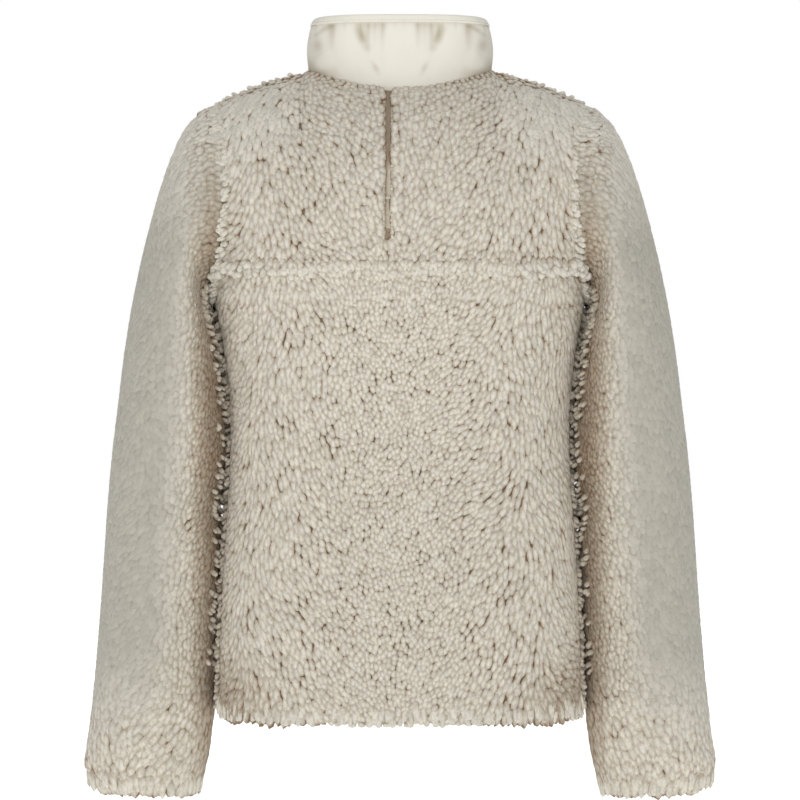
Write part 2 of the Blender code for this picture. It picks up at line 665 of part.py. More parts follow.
def build_collar(yokes, fronts):
    """The woven stand collar, gathered under a narrow casing along its top."""
    outer_line, inner_line = neck_line(yokes, fronts)
    steps = np.linalg.norm(np.diff(outer_line, axis=0), axis=1)
    walked = np.concatenate([[0.0], np.cumsum(steps)])
    behind = outer_line[:, 1] > 0
    middle = walked[behind][np.argmin(np.abs(outer_line[behind, 0]))]
    corners = walked[np.concatenate([[True], steps > 2 * YOKE_GROOVE])] - middle
    places = collar_columns(corners)
    base_outer = spread(outer_line, walked, places + middle)
    base_inner = spread(inner_line, walked, places + middle)
    into = unit(base_inner - base_outer)
    along = unit(np.gradient(base_outer, axis=0))
    beyond = unit(np.cross(into, along))
    centre = np.array([0.0, COLLAR_MIDDLE_Y, 0.0])
    flat = np.array([1.0, 1.0, 0.0])
    inward = (centre - base_outer) * flat
    beyond = beyond * np.sign(np.sum(beyond * inward, axis=1))[:, None]
    foot = base_outer + COLLAR_SEAT * into + COLLAR_GAP * beyond
    foot_inside = base_outer + COLLAR_FOOT_DEPTH * into + COLLAR_GAP * beyond
    angle = np.arctan2(foot[:, 0], foot[:, 1] - COLLAR_MIDDLE_Y)
    lid = collar_ring(angle, np.full(len(places), CASING_HEIGHT + GAP))
    away = unit((foot - centre) * flat)
    rows = [foot]
    for level in COLLAR_LEVELS:
        lean = (level - COLLAR_RISE) / (1 - COLLAR_RISE)
        row = foot + (lid - foot) * np.array([lean, lean, level])
        push = COLLAR_BULGE * math.sin(math.pi * lean) - gather_depth(places, lid[:, 2] - row[:, 2])
        rows.append(row + push[:, None] * away)
    outer = np.array(rows)
    inner = outer - COLLAR_WALL * away
    inner[0] = foot_inside
    end_at_zip((outer, inner))
    wall("collar", outer, inner, woven)
    rings = [collar_ring(angle, np.full(len(places), drop)) + swell * away for drop, swell in CASING_LEVELS]
    band = np.array(rings)
    band_inner = band - CASING_WALL * away
    end_at_zip((band, band_inner))
    wall("collar_casing", band, band_inner, woven)


def zip_rows(x):
    """The fronts' inner face at this x from the hem to the neck, moved in by a seam's gap, and the
    same line carried up behind the collar."""
    rows = np.concatenate([np.linspace(0.02, 1.0, 12), np.linspace(1.07, 2.0, 11)])
    u = np.full(rows.shape, x / (math.pi / 2 * BODY["front"][-1]))
    inside = torso(-1, u, rows) - (PILE_WALL + 1.5 * GAP) * torso_normal(-1, u, rows)
    inside[:, 0] = x
    inside = inside[inside[:, 2] < NECK_FRONT[1] - ZIP_NECK_BELOW]
    rise = np.linspace(NECK_FRONT[1] - ZIP_NECK_ABOVE, ZIP_TOP, 6)
    collar = np.stack([np.full(rise.shape, x), np.full(rise.shape, ZIP_COLLAR_FACE), rise], axis=-1)
    return np.concatenate([inside, collar])


def zip_path():
    """The line of the teeth up the front: y and z on the tape's outer face."""
    return zip_rows(ZIP_TEETH_HALF)[:, 1:]


def strip(name, path, x_from, x_to, front, back, material):
    """A strip up the front between two x values, from `front` before the path to `back` behind it."""
    along = unit(np.gradient(path, axis=0))
    outward = np.stack([-along[:, 1], along[:, 0]], axis=-1)
    outward = outward * np.where(outward[:, :1] > 0, -1.0, 1.0)
    sides = np.array([x_from, x_to])

    def face(distance):
        line = path + distance * outward
        grid = np.empty((len(path), 2, 3))
        grid[..., 0] = sides
        grid[..., 1:] = line[:, None]
        return grid

    return wall(name, face(front), face(-back), material)


def extrude_outline(name, corners, way):
    """A mesh from a closed outline of corners in millimetres, carried along a way."""
    shape = bmesh.new()
    ring = [shape.verts.new(Vector(corner) * MILLIMETRE) for corner in corners]
    face = shape.faces.new(ring)
    grown = bmesh.ops.extrude_face_region(shape, geom=[face])
    moved = [item for item in grown["geom"] if isinstance(item, bmesh.types.BMVert)]
    bmesh.ops.translate(shape, verts=moved, vec=Vector(way) * MILLIMETRE)
    bmesh.ops.recalc_face_normals(shape, faces=shape.faces)
    mesh = bpy.data.meshes.new(name)
    shape.to_mesh(mesh)
    shape.free()
    return mesh


def side_outline(name, outline, half_width):
    """A mesh from an outline of y and z, as wide as twice half_width."""
    corners = [(-half_width, y, z) for y, z in outline]
    return extrude_outline(name, corners, (2 * half_width, 0.0, 0.0))


def front_outline(name, outline, half_depth):
    """A mesh from an outline of x and z, as deep as twice half_depth."""
    corners = [(x, -half_depth, z) for x, z in outline]
    return extrude_outline(name, corners, (0.0, 2 * half_depth, 0.0))


def block(y_from, y_to, z_from, z_to):
    """The outline of a block from its y and z limits."""
    return [(y_from, z_from), (y_to, z_from), (y_to, z_to), (y_from, z_to)]


def hidden_shape(name, mesh, location=(0.0, 0.0, 0.0)):
    """A shape that is only used to join or cut another."""
    thing = bpy.data.objects.new(name, mesh)
    thing.location = location
    thing.hide_render = True
    thing.display_type = "WIRE"
    cutters.objects.link(thing)
    return thing


def combine(thing, name, operation, other):
    """Join another shape to a piece, or cut it out of the piece."""
    step = thing.modifiers.new(name, "BOOLEAN")
    step.operation = operation
    step.solver = "EXACT"
    step.object = other


def build_slider(front_face, back_face, level):
    """The slider: a plate before the teeth, one behind them, the post that joins them above the last
    tooth, and the bail on its front that holds the pull. Returns the y of the pull's axis."""
    front_back = front_face - GAP
    plate_front = front_back - SLIDER_PLATE
    behind_front = back_face + GAP
    low = level - SLIDER_LENGTH / 2
    high = level + SLIDER_LENGTH / 2
    plate = block(plate_front, front_back, low, high)
    behind = block(behind_front, behind_front + SLIDER_BACK_PLATE, low, high)
    post = block(front_back - SLIDER_OVERLAP, behind_front + SLIDER_OVERLAP,
                 high - SLIDER_POST_LOW, high - SLIDER_POST_HIGH)
    reach = plate_front - PULL_AXIS_RISE - PULL_BAR - BAIL_CLEAR
    root = plate_front + BAIL_CLEAR
    foot = BAIL_HALF_LENGTH
    inner = BAIL_HALF_LENGTH - BAIL_THICK
    arch = [(root, -foot), (reach, -foot + BAIL_ROUND), (reach - BAIL_ROUND, -foot + 2 * BAIL_ROUND),
            (reach - BAIL_ROUND, foot - 2 * BAIL_ROUND), (reach, foot - BAIL_ROUND), (root, foot),
            (root, inner), (reach, inner - BAIL_ROUND), (reach, BAIL_ROUND - inner), (root, -inner)]
    arch = [(y, level + z) for y, z in arch]
    slider = add_object("zip_slider", side_outline("zip_slider", plate, SLIDER_HALF_WIDTH), metal)
    post_mesh = side_outline("slider_post", post, SLIDER_POST_HALF)
    behind_mesh = side_outline("slider_back", behind, SLIDER_HALF_WIDTH)
    bail_mesh = side_outline("slider_bail", arch, BAIL_HALF_WIDTH)
    combine(slider, "post", "UNION", hidden_shape("slider_post", post_mesh))
    combine(slider, "back", "UNION", hidden_shape("slider_back", behind_mesh))
    combine(slider, "bail", "UNION", hidden_shape("slider_bail", bail_mesh))
    return plate_front - PULL_AXIS_RISE


def round_bar(name, radius, half_length):
    """A round bar along X."""
    shape = bmesh.new()
    bmesh.ops.create_cone(shape, cap_ends=True, segments=PULL_BAR_SIDES, radius1=radius * MILLIMETRE,
                          radius2=radius * MILLIMETRE, depth=2 * half_length * MILLIMETRE)
    turn = Vector((0, 0, 1)).rotation_difference(Vector((1, 0, 0))).to_matrix()
    bmesh.ops.rotate(shape, verts=shape.verts, cent=(0, 0, 0), matrix=turn)
    mesh = bpy.data.meshes.new(name)
    shape.to_mesh(mesh)
    shape.free()
    return mesh


def build_pull(axis_y, level):
    """The pull tab, hung by its round bar under the bail and free to swing about it."""
    end = -PULL_LENGTH
    side = [(PULL_EYE_HALF, 0.0), (PULL_EYE_HALF, -PULL_NECK),
            (PULL_HALF_WIDTH, -PULL_NECK - PULL_SHOULDER), (PULL_HALF_WIDTH, end + PULL_CORNER),
            (PULL_HALF_WIDTH - PULL_CORNER_WIDTH, end)]
    outline = side + [(-x, z) for x, z in reversed(side)]
    window = [(PULL_WINDOW_HALF, PULL_WINDOW[0]), (-PULL_WINDOW_HALF, PULL_WINDOW[0]),
              (-PULL_WINDOW_HALF, PULL_WINDOW[1]), (PULL_WINDOW_HALF, PULL_WINDOW[1])]
    place = (0.0, axis_y * MILLIMETRE, level * MILLIMETRE)
    pull = add_object("zip_pull", front_outline("zip_pull", outline, PULL_THICK), metal, place)
    window_mesh = front_outline("pull_window", window, 3 * PULL_THICK)
    bar_mesh = round_bar("pull_bar", PULL_BAR, PULL_BAR_HALF)
    combine(pull, "window", "DIFFERENCE", hidden_shape("pull_window", window_mesh, place))
    combine(pull, "bar", "UNION", hidden_shape("pull_bar", bar_mesh, place))


def build_zip():
    """Both tapes, the closed teeth, the box at the hem, the slider and its pull."""
    path = zip_path()
    level = ZIP_TOP - SLIDER_DROP
    for name, way in (("zip_tape_left", 1), ("zip_tape_right", -1)):
        face = np.stack([zip_rows(x) for x in (ZIP_TEETH_HALF + GAP, ZIP_TAPE_REACH)], axis=1)
        face = face * np.array([way, 1.0, 1.0])
        wall(name, face, face + np.array([0.0, ZIP_TAPE_THICK, 0.0]), tape)
    post = level + SLIDER_LENGTH / 2 - SLIDER_POST_LOW
    box_top = path[0, 1] + ZIP_BOX_HEIGHT
    teeth_foot = box_top + GAP
    inside = (path[:, 1] > teeth_foot + ZIP_TEETH_END) & (path[:, 1] < post - ZIP_TEETH_END)
    first = np.array([[np.interp(teeth_foot, path[:, 1], path[:, 0]), teeth_foot]])
    last = np.array([[ZIP_COLLAR_FACE, post - GAP]])
    teeth_path = np.concatenate([first, path[inside], last])
    strip("zip_teeth", teeth_path, -ZIP_TEETH_HALF, ZIP_TEETH_HALF, ZIP_TEETH_RISE, ZIP_TAPE_THICK, ivory)
    box_path = np.array([path[0], [np.interp(box_top, path[:, 1], path[:, 0]), box_top]])
    box_rise = ZIP_TEETH_RISE + ZIP_BOX_RISE
    strip("zip_box", box_path, -ZIP_TEETH_HALF, ZIP_TEETH_HALF, box_rise, ZIP_TAPE_THICK, ivory)
    axis_y = build_slider(ZIP_COLLAR_FACE - ZIP_TEETH_RISE, ZIP_COLLAR_FACE + ZIP_TAPE_THICK, level)
    build_pull(axis_y, level)


for leftover in list(bpy.data.objects):
    bpy.data.objects.remove(leftover, do_unlink=True)

jacket = bpy.data.collections.new("fleece_jacket")
cutters = bpy.data.collections.new("cutters")
bpy.context.scene.collection.children.link(jacket)
bpy.context.scene.collection.children.link(cutters)
stand = bpy.data.objects.new("jacket_frame", None)
jacket.objects.link(stand)

pile = make_material("pile_fleece", PILE_CREAM, 0.95)
woven = make_material("woven_collar", WOVEN_CREAM, 0.8)
seam_tape = make_material("seam_tape", SEAM_CREAM, 0.85)
tape = make_material("zip_tape", TAPE_CREAM, 0.85)
ivory = make_material("zip_ivory", ZIP_IVORY, 0.45)
metal = make_material("zip_metal", ZIP_METAL, 0.35, 1.0)

build_back()
yoke_necks = build_yoke()
build_yoke_tape()
front_necks = build_fronts()
build_sleeves()
build_collar(yoke_necks, front_necks)
build_zip()
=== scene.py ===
# %% [markdown]
# # A pile fleece jacket, seen from the back
# The jacket is worn by nobody: it keeps the round, hollow form that a wearer gives it. Its cloth is a
# knitted backing that carries a thick pile of small curly tufts, and its stand collar is smooth woven
# cloth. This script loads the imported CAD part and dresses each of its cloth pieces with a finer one.

# %% Load the frame
import math

import bpy
import numpy as np
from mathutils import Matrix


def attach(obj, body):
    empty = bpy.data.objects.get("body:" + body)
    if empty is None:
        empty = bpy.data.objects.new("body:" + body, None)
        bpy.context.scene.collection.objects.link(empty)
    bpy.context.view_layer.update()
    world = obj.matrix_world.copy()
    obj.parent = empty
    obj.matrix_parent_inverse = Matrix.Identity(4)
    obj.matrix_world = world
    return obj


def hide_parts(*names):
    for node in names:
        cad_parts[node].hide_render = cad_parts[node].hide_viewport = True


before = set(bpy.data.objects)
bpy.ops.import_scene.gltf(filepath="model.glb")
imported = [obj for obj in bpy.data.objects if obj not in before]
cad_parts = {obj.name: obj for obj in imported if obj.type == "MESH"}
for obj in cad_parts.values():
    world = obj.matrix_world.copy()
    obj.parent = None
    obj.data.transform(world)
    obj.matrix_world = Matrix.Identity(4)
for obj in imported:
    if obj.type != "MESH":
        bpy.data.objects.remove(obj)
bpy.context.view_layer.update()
MILLIMETRE = 0.001
print("nodes:", sorted(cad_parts))

# %% [markdown]
# ## Helpers
# Every new piece is worked out as whole numpy arrays of points and faces, which is fast and keeps each
# form one readable formula. The first helpers put such arrays into a mesh and measure them. The others
# make and join the nodes of a material in short calls, so that each material reads from its pattern to
# its colour.

# %% Helpers for meshes


def mesh_from(name, points, faces):
    """A smooth mesh from points in millimetres and faces that all have the same number of corners."""
    mesh = bpy.data.meshes.new(name)
    mesh.vertices.add(len(points))
    mesh.vertices.foreach_set("co", (points * MILLIMETRE).astype(np.float32).ravel())
    mesh.loops.add(faces.size)
    mesh.loops.foreach_set("vertex_index", faces.astype(np.int32).ravel())
    mesh.polygons.add(len(faces))
    starts = np.arange(len(faces), dtype=np.int32) * faces.shape[1]
    mesh.polygons.foreach_set("loop_start", starts)
    mesh.update(calc_edges=True)
    mesh.polygons.foreach_set("use_smooth", np.ones(len(faces), dtype=bool))
    return mesh


def give_number(mesh, name, values):
    """A number at each point of the mesh, which a material reads by its name."""
    layer = mesh.attributes.new(name, "FLOAT", "POINT")
    layer.data.foreach_set("value", values.astype(np.float32).ravel())


def give_uv(mesh, across, along):
    """A UV map from two numbers at each point, in metres along the cloth."""
    corner = np.empty(len(mesh.loops), dtype=np.int32)
    mesh.loops.foreach_get("vertex_index", corner)
    layer = mesh.uv_layers.new(name="cloth")
    pairs = np.stack([across.ravel()[corner], along.ravel()[corner]], axis=-1)
    layer.data.foreach_set("uv", pairs.astype(np.float32).ravel())


def add_piece(name, mesh, *materials):
    """The mesh as an object at the origin that goes with the jacket."""
    for material in materials:
        mesh.materials.append(material)
    piece = bpy.data.objects.new(name, mesh)
    bpy.context.scene.collection.objects.link(piece)
    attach(piece, "jacket")
    return piece


def unit(vectors):
    """Vectors of length one."""
    return vectors / np.maximum(np.linalg.norm(vectors, axis=-1, keepdims=True), 1e-9)


def between(value, start, end):
    """How far a value has come from the start to the end: 0 to 1, straight and clipped."""
    return np.clip((value - start) / (end - start), 0.0, 1.0)


def walk(points, axis=0):
    """The distance walked along a line of points, or along each line of a grid."""
    steps = np.cumsum(np.linalg.norm(np.diff(points, axis=axis), axis=-1), axis=axis)
    return np.concatenate([0 * np.take(steps, [0], axis), steps], axis)


def read_line(at, walked, line):
    """The points of a line at these distances along it."""
    return np.stack([np.interp(at, walked, line[:, k]) for k in range(3)], axis=-1)


def area_of(points, closed=False):
    """The area of a grid of points in square metres: the sum of the cross products of its steps."""
    if closed:
        points = np.concatenate([points, points[:, :1]], axis=1)
    across = points[:-1, 1:] - points[:-1, :-1]
    along = points[1:, :-1] - points[:-1, :-1]
    return np.linalg.norm(np.cross(across, along), axis=-1).sum() * MILLIMETRE**2


def grid_index(rows, columns, closed=False):
    """The numbers of a grid's points, with its first column again at the end if it is closed."""
    index = np.arange(rows * columns).reshape(rows, columns)
    return np.concatenate([index, index[:, :1]], axis=1) if closed else index


def grid_faces(rows, columns, closed=False):
    """The quads of a grid of points, which may close on itself across its columns."""
    index = grid_index(rows, columns, closed)
    return np.stack([index[:-1, :-1], index[:-1, 1:], index[1:, 1:], index[1:, :-1]], -1).reshape(-1, 4)


def band_faces(sides, low, high):
    """The triangles between two rings of points that start at the numbers low and high."""
    first = np.arange(sides)
    after = (first + 1) % sides
    return [np.stack([low + first, low + after, high + after], -1),
            np.stack([low + first, high + after, high + first], -1)]


def tip_faces(sides, low, tip):
    """The triangles from a ring that starts at the number low to one point."""
    first = np.arange(sides)
    return np.stack([low + first, low + (first + 1) % sides, np.full(sides, tip)], -1)


def faces_of_each(faces, count, each):
    """The same faces for a count of shapes that have so many points each."""
    return (np.concatenate(faces)[None] + np.arange(count)[:, None, None] * each).reshape(-1, 3)


# %% Helpers for materials


def give(tree, node, inputs):
    """Give a node's sockets, by name or number, another node's output or a value. A colour is given
    without its alpha."""
    for name, value in inputs.items():
        socket = node.inputs[name]
        if isinstance(value, bpy.types.NodeSocket):
            tree.links.new(value, socket)
        else:
            socket.default_value = (*value, 1.0) if socket.type == "RGBA" else value


def add_node(tree, kind, inputs, **settings):
    """A new node of this kind with its settings and inputs."""
    node = tree.nodes.new("ShaderNode" + kind)
    for name, value in settings.items():
        setattr(node, name, value)
    give(tree, node, inputs)
    return node


def add_place(tree):
    """The place on the piece in its own coordinates, in metres."""
    return add_node(tree, "TexCoord", {}).outputs["Object"]


def add_number(tree, name):
    """A number that the mesh carries at each point."""
    return add_node(tree, "Attribute", {}, attribute_name=name).outputs["Fac"]


def add_math(tree, operation, *values):
    """A sum, product and so on of sockets and numbers."""
    return add_node(tree, "Math", dict(enumerate(values)), operation=operation).outputs["Value"]


def add_range(tree, value, low, high):
    """A number from 0 to 1 spread from low to high."""
    return add_node(tree, "MapRange", {"Value": value, "To Min": low, "To Max": high}).outputs["Result"]


def add_ramp(tree, value, *stops):
    """A colour ramp from (place, colour) pairs."""
    node = add_node(tree, "ValToRGB", {"Fac": value})
    elements = node.color_ramp.elements
    for element, (place, colour) in zip(elements, (stops[0], stops[-1])):
        element.position = place
        element.color = (*colour, 1.0)
    for place, colour in stops[1:-1]:
        elements.new(place).color = (*colour, 1.0)
    return node.outputs["Color"]


def add_product(tree, share, first, second):
    """The first colour multiplied by the second, as far as the share says."""
    node = add_node(tree, "Mix", {"Factor": share}, data_type="RGBA", blend_type="MULTIPLY",
                    clamp_result=True)
    one, other = [number for number, socket in enumerate(node.inputs) if socket.type == "RGBA"]
    give(tree, node, {one: first, other: second})
    return [socket for socket in node.outputs if socket.type == "RGBA"][0]


def add_noise(tree, vector, scale, detail=2.0, roughness=0.5):
    """Noise at this many lumps a metre."""
    inputs = {"Vector": vector, "Scale": scale, "Detail": detail, "Roughness": roughness}
    return add_node(tree, "TexNoise", inputs).outputs["Fac"]


def add_wave(tree, vector, scale, distortion, **settings):
    """Bands of thread, their number a metre set by the scale."""
    inputs = {"Vector": vector, "Scale": scale, "Distortion": distortion}
    return add_node(tree, "TexWave", inputs, **settings)


def add_bump(tree, height, strength, distance):
    """A bump from a height socket, its distance in metres."""
    inputs = {"Height": height, "Strength": strength, "Distance": distance}
    return add_node(tree, "Bump", inputs).outputs["Normal"]


def new_material(name):
    """A node material, with its tree and its Principled shader."""
    material = bpy.data.materials.new(name)
    material.use_nodes = True
    return material, material.node_tree, material.node_tree.nodes["Principled BSDF"]


# %% [markdown]
# ## Camera, floor and light
# The photograph looks straight at the back from a few metres away, so the camera stands 3.5 m behind
# the jacket with a long lens. The light is that of a plain product photograph: a wide soft light above
# the camera, another above the front, and a pale room all round that fills the shadows. The room is
# darker at its sides, which gives the sleeves their form. A pale floor lies under the cuffs.

# %% Camera
CAMERA_AWAY = 3.5
CAMERA_HEIGHT = -0.312
FRAME_WIDTH = 0.76
SENSOR = 36.0

camera_data = bpy.data.cameras.new("back_view")
camera_data.sensor_width = SENSOR
camera_data.lens = SENSOR * CAMERA_AWAY / FRAME_WIDTH
camera = bpy.data.objects.new("back_view", camera_data)
camera.location = (0.0, CAMERA_AWAY, CAMERA_HEIGHT)
camera.rotation_euler = (math.radians(90.0), 0.0, math.radians(180.0))
bpy.context.scene.collection.objects.link(camera)
bpy.context.scene.camera = camera
bpy.context.scene.view_settings.view_transform = "Standard"
print("lens:", round(camera_data.lens, 1), "mm")

# %% Lights and room
LIGHTS = (
    ("key", (0.25, 2.9, 1.75), 1.2, 33.0),
    ("front_key", (-0.25, -2.9, 1.75), 1.2, 31.0),
)
AIM = (0.0, 0.0, -0.32)
ROOM_FILL = 0.68
WHITE = (1.0, 1.0, 1.0)
ROOM_SIDES = (0.34, 0.34, 0.35)


def add_light(name, place, size, power):
    """A square area light at a place, turned towards the middle of the jacket."""
    data = bpy.data.lights.new(name, "AREA")
    data.size = size
    data.energy = power
    light = bpy.data.objects.new(name, data)
    light.location = place
    way = light.location - type(light.location)(AIM)
    light.rotation_euler = way.to_track_quat("Z", "Y").to_euler()
    bpy.context.scene.collection.objects.link(light)


for light_row in LIGHTS:
    add_light(*light_row)
world = bpy.data.worlds.new("pale_room")
world.use_nodes = True
room = world.node_tree
direction = add_node(room, "SeparateXYZ", {"Vector": add_node(room, "TexCoord", {}).outputs["Generated"]})
sideways = add_math(room, "ABSOLUTE", direction.outputs["X"])
seen = add_node(room, "LightPath", {}).outputs["Is Camera Ray"]
give(room, room.nodes["Background"], {
    "Color": add_ramp(room, sideways, (0.12, WHITE), (0.6, ROOM_SIDES)),
    "Strength": add_range(room, seen, ROOM_FILL, 1.0),
})
bpy.context.scene.world = world
print("lights:", len(LIGHTS))

# %% Floor
FLOOR_LEVEL = -700.0
FLOOR_HALF = 9000.0
FLOOR_GLOW = 0.64

floor_x, floor_y = np.meshgrid(*[np.linspace(-FLOOR_HALF, FLOOR_HALF, 3)] * 2)
floor_points = np.stack([floor_x, floor_y, np.full(floor_x.shape, FLOOR_LEVEL)], axis=-1)
floor = bpy.data.objects.new("floor", mesh_from("floor", floor_points.reshape(-1, 3), grid_faces(3, 3)))
bpy.context.scene.collection.objects.link(floor)
floor_paint, floor_tree, floor_shader = new_material("pale_floor")
give(floor_tree, floor_shader, {"Base Color": (0.9, 0.9, 0.9), "Roughness": 0.9,
                                "Emission Color": WHITE, "Emission Strength": FLOOR_GLOW})
floor.data.materials.append(floor_paint)
print("floor at", FLOOR_LEVEL, "mm")

# %% [markdown]
# ## The form of the body
# The body is one surface, the same as in the CAD part: level sections up to the yoke, and above them
# a blend between the yoke's level, the middle line, the armhole and the neck with its shoulder seam.
# Each panel is a window of this surface, so neighbours always meet. Its tables hold the same sizes in
# millimetres as the part's source.

# %% Sizes of the body
HEM = -607.0
UNDERARM = -217.0
SHOULDER_POINT = -31.0
ROUNDNESS = 2.4
PILE_WALL = 7.0
ARMHOLE_HALF_DEPTH = 75.0
ARMHOLE_MIDDLE = (UNDERARM + SHOULDER_POINT) / 2
ARMHOLE_HALF_HEIGHT = (SHOULDER_POINT - UNDERARM) / 2
YOKE_TURN = math.radians(45.0)
YOKE_SEAM = ARMHOLE_MIDDLE - ARMHOLE_HALF_HEIGHT * math.cos(YOKE_TURN)
YOKE_RIDGE = 1.6
YOKE_RIDGE_REACH = 7.0
NECK_HALF_WIDTH = 90.0
NECK_SHARE = 0.6
NECK = {1: (56.0, -20.0, math.radians(72.0)), -1: (-81.0, -62.0, math.radians(58.0))}
SHOULDER_BOW = 3.0
NECK_EDGE_TILT = math.radians(54.0)
NECK_EDGE_FROM = 1.911
COLLAR_MIDDLE_Y = -10.0
COLLAR_CENTRE = np.array([0.0, COLLAR_MIDDLE_Y, 0.0])
KINK_REACH = 0.1
KINK_STEP = 0.03
LEVEL = np.array([1.0, 1.0, 0.0])
SIDEWAYS = np.array([1.0, 0.0, 0.0])
UP = np.array([0.0, 0.0, 1.0])


def table(columns, rows):
    """A short table whose columns are read by name."""
    return np.array(rows, dtype=[(name, float) for name in columns])


def both_sides(rows, *mirrored):
    """Each row and its mirror image, in which the numbers at the mirrored places are negated."""
    return [tuple(sign * value if k in mirrored else value for k, value in enumerate(row))
            for row in rows for sign in (1, -1)]


BODY = table(("height", "half_width", "back", "front"), [
    (-607, 173.0, 118, 116),
    (-560, 172.0, 121, 118),
    (-500, 169.5, 122, 120),
    (-445, 166.0, 120, 121),
    (-380, 162.0, 118, 122),
    (-320, 161.5, 119, 124),
    (-260, 168.0, 123, 126),
    (-217, 176.0, 126, 127),
    (-180, 176.0, 126, 124),
])
ARMHOLE = table(("height", "half_width"), [
    (-217, 176.0), (-190, 170.5), (-165, 166.0), (-130, 163.0), (-90, 163.0), (-60, 167.0), (-31, 174.0),
])
BODY_FOLDS = table(("x", "side", "z", "reach_x", "reach_z", "depth"), both_sides([
    (64, 1, -120, 26, 70, 1.8),
    (138, 1, -250, 16, 60, 1.6),
    (150, 1, -560, 24, 50, 1.6),
    (110, -1, -240, 20, 70, 2.4),
    (90, -1, -400, 22, 110, 1.8),
], 0) + [(0, 1, -360, 70, 90, 2.0)])
print("yoke seam at", round(YOKE_SEAM, 1), "mm")

# %% The body's surface


def smooth(keys, values, at):
    """Read a column between its rows on a smooth curve: a cubic through both rows, with the rows'
    own mean slopes."""
    slopes = np.gradient(values, keys)
    place = np.clip(np.searchsorted(keys, at) - 1, 0, len(keys) - 2)
    span = keys[place + 1] - keys[place]
    t = np.clip((at - keys[place]) / span, -0.2, 1.2)
    start = (2 * t**3 - 3 * t**2 + 1) * values[place] + (t**3 - 2 * t**2 + t) * span * slopes[place]
    end = (3 * t**2 - 2 * t**3) * values[place + 1] + (t**3 - t**2) * span * slopes[place + 1]
    return start + end


def depth_of(side, z):
    """Half the body's depth at a height, behind (side 1) or in front (side -1)."""
    return smooth(BODY["height"], BODY["back"] if side > 0 else BODY["front"], z)


def armhole_edge(turn):
    """The armhole seam on the +X side at a turn: an ellipse seen from the side, whose x is read from
    the armhole's table at its height."""
    z = ARMHOLE_MIDDLE - ARMHOLE_HALF_HEIGHT * np.cos(turn)
    return smooth(ARMHOLE["height"], ARMHOLE["half_width"], z), ARMHOLE_HALF_DEPTH * np.sin(turn), z


def level_row(side, u, edge_x, edge_y, z):
    """A level section: the superellipse |x/reach|^n + |y/depth|^n = 1 through the row's edge, read
    by its polar angle."""
    depth = depth_of(side, z)
    reach = edge_x / (1 - np.abs(edge_y / depth) ** ROUNDNESS) ** (1 / ROUNDNESS)
    angle = math.pi / 2 - np.abs(u) * (math.pi / 2 - np.arctan2(edge_y, edge_x))
    across = np.abs(np.cos(angle) / reach) ** ROUNDNESS
    along = np.abs(np.sin(angle) / depth) ** ROUNDNESS
    radius = (across + along) ** (-1 / ROUNDNESS)
    return np.stack([radius * np.cos(angle), side * radius * np.sin(angle), z + 0 * angle], axis=-1)


def neck_and_shoulder(side, u):
    """The panel's top edge: a quarter of an ellipse round the neck, then the shoulder seam, a line
    that bows up a little."""
    middle_y, middle_z, _ = NECK[side]
    neck_turn = np.minimum(u / NECK_SHARE, 1.0) * math.pi / 2
    out = np.maximum((u - NECK_SHARE) / (1 - NECK_SHARE), 0.0)
    x = NECK_HALF_WIDTH * np.sin(neck_turn) + (ARMHOLE["half_width"][-1] - NECK_HALF_WIDTH) * out
    z = middle_z * np.cos(neck_turn) ** 2 + SHOULDER_POINT * out + SHOULDER_BOW * 4 * out * (1 - out)
    return np.stack([x, middle_y * np.cos(neck_turn), z], axis=-1)


def middle_line(side, rise):
    """The centre line from the yoke's level to the neck: an arc that rounds forwards."""
    top_y, top_z, last = NECK[side]
    foot_y = side * depth_of(side, YOKE_SEAM)
    turn = rise * last
    fall = (np.cos(turn) - math.cos(last)) / (1 - math.cos(last))
    climb = np.sin(turn) / math.sin(last)
    return np.stack([0 * turn, top_y + (foot_y - top_y) * fall,
                     YOKE_SEAM + (top_z - YOKE_SEAM) * climb], axis=-1)


def torso(side, u, v):
    """The torso's outer surface. u runs from the middle (0) to the side or armhole (1 or -1), and v
    from the hem (0) past the underarm (1) to the neck and shoulder seam (2). The upper part is the
    sum of the blends between opposite edges, less the blend of the four corners."""
    q = np.abs(u)
    turn = np.maximum(v - 1, 0.0) * math.pi
    edge_x, edge_y, edge_z = armhole_edge(np.minimum(turn, YOKE_TURN))
    body_z = HEM + np.minimum(v, 1.0) * (UNDERARM - HEM)
    below = v <= 1
    width = smooth(BODY["height"], BODY["half_width"], body_z)
    low = level_row(side, q, np.where(below, width, edge_x), np.where(below, 0.0, edge_y),
                    np.where(below, body_z, edge_z))
    rise = np.maximum((turn - YOKE_TURN) / (math.pi - YOKE_TURN), 0.0)[..., None]
    share = q[..., None]
    one = np.ones(1)
    foot = level_row(side, q, *armhole_edge(YOKE_TURN + 0 * q))
    top = neck_and_shoulder(side, q)
    high_x, high_y, high_z = armhole_edge(np.maximum(turn, YOKE_TURN))
    edge = np.stack([high_x, side * high_y, high_z], axis=-1)
    corners = ((1 - rise) * ((1 - share) * middle_line(side, 0 * one)
                             + share * level_row(side, one, *armhole_edge(YOKE_TURN * one)))
               + rise * ((1 - share) * middle_line(side, one) + share * neck_and_shoulder(side, one)))
    high = ((1 - rise) * foot + rise * top + (1 - share) * middle_line(side, rise[..., 0])
            + share * edge - corners)
    points = np.where(rise > 0, high, low)
    points[..., 0] *= np.where(u < 0, -1.0, 1.0)
    return points


def surface_normal(side, u, v, wide, step):
    """The torso's own normal: the cross product of small steps across and up."""
    across = torso(side, u + wide, v) - torso(side, u - wide, v)
    up = torso(side, u, v + step) - torso(side, u, v - step)
    return unit(np.cross(across, up) * -side)


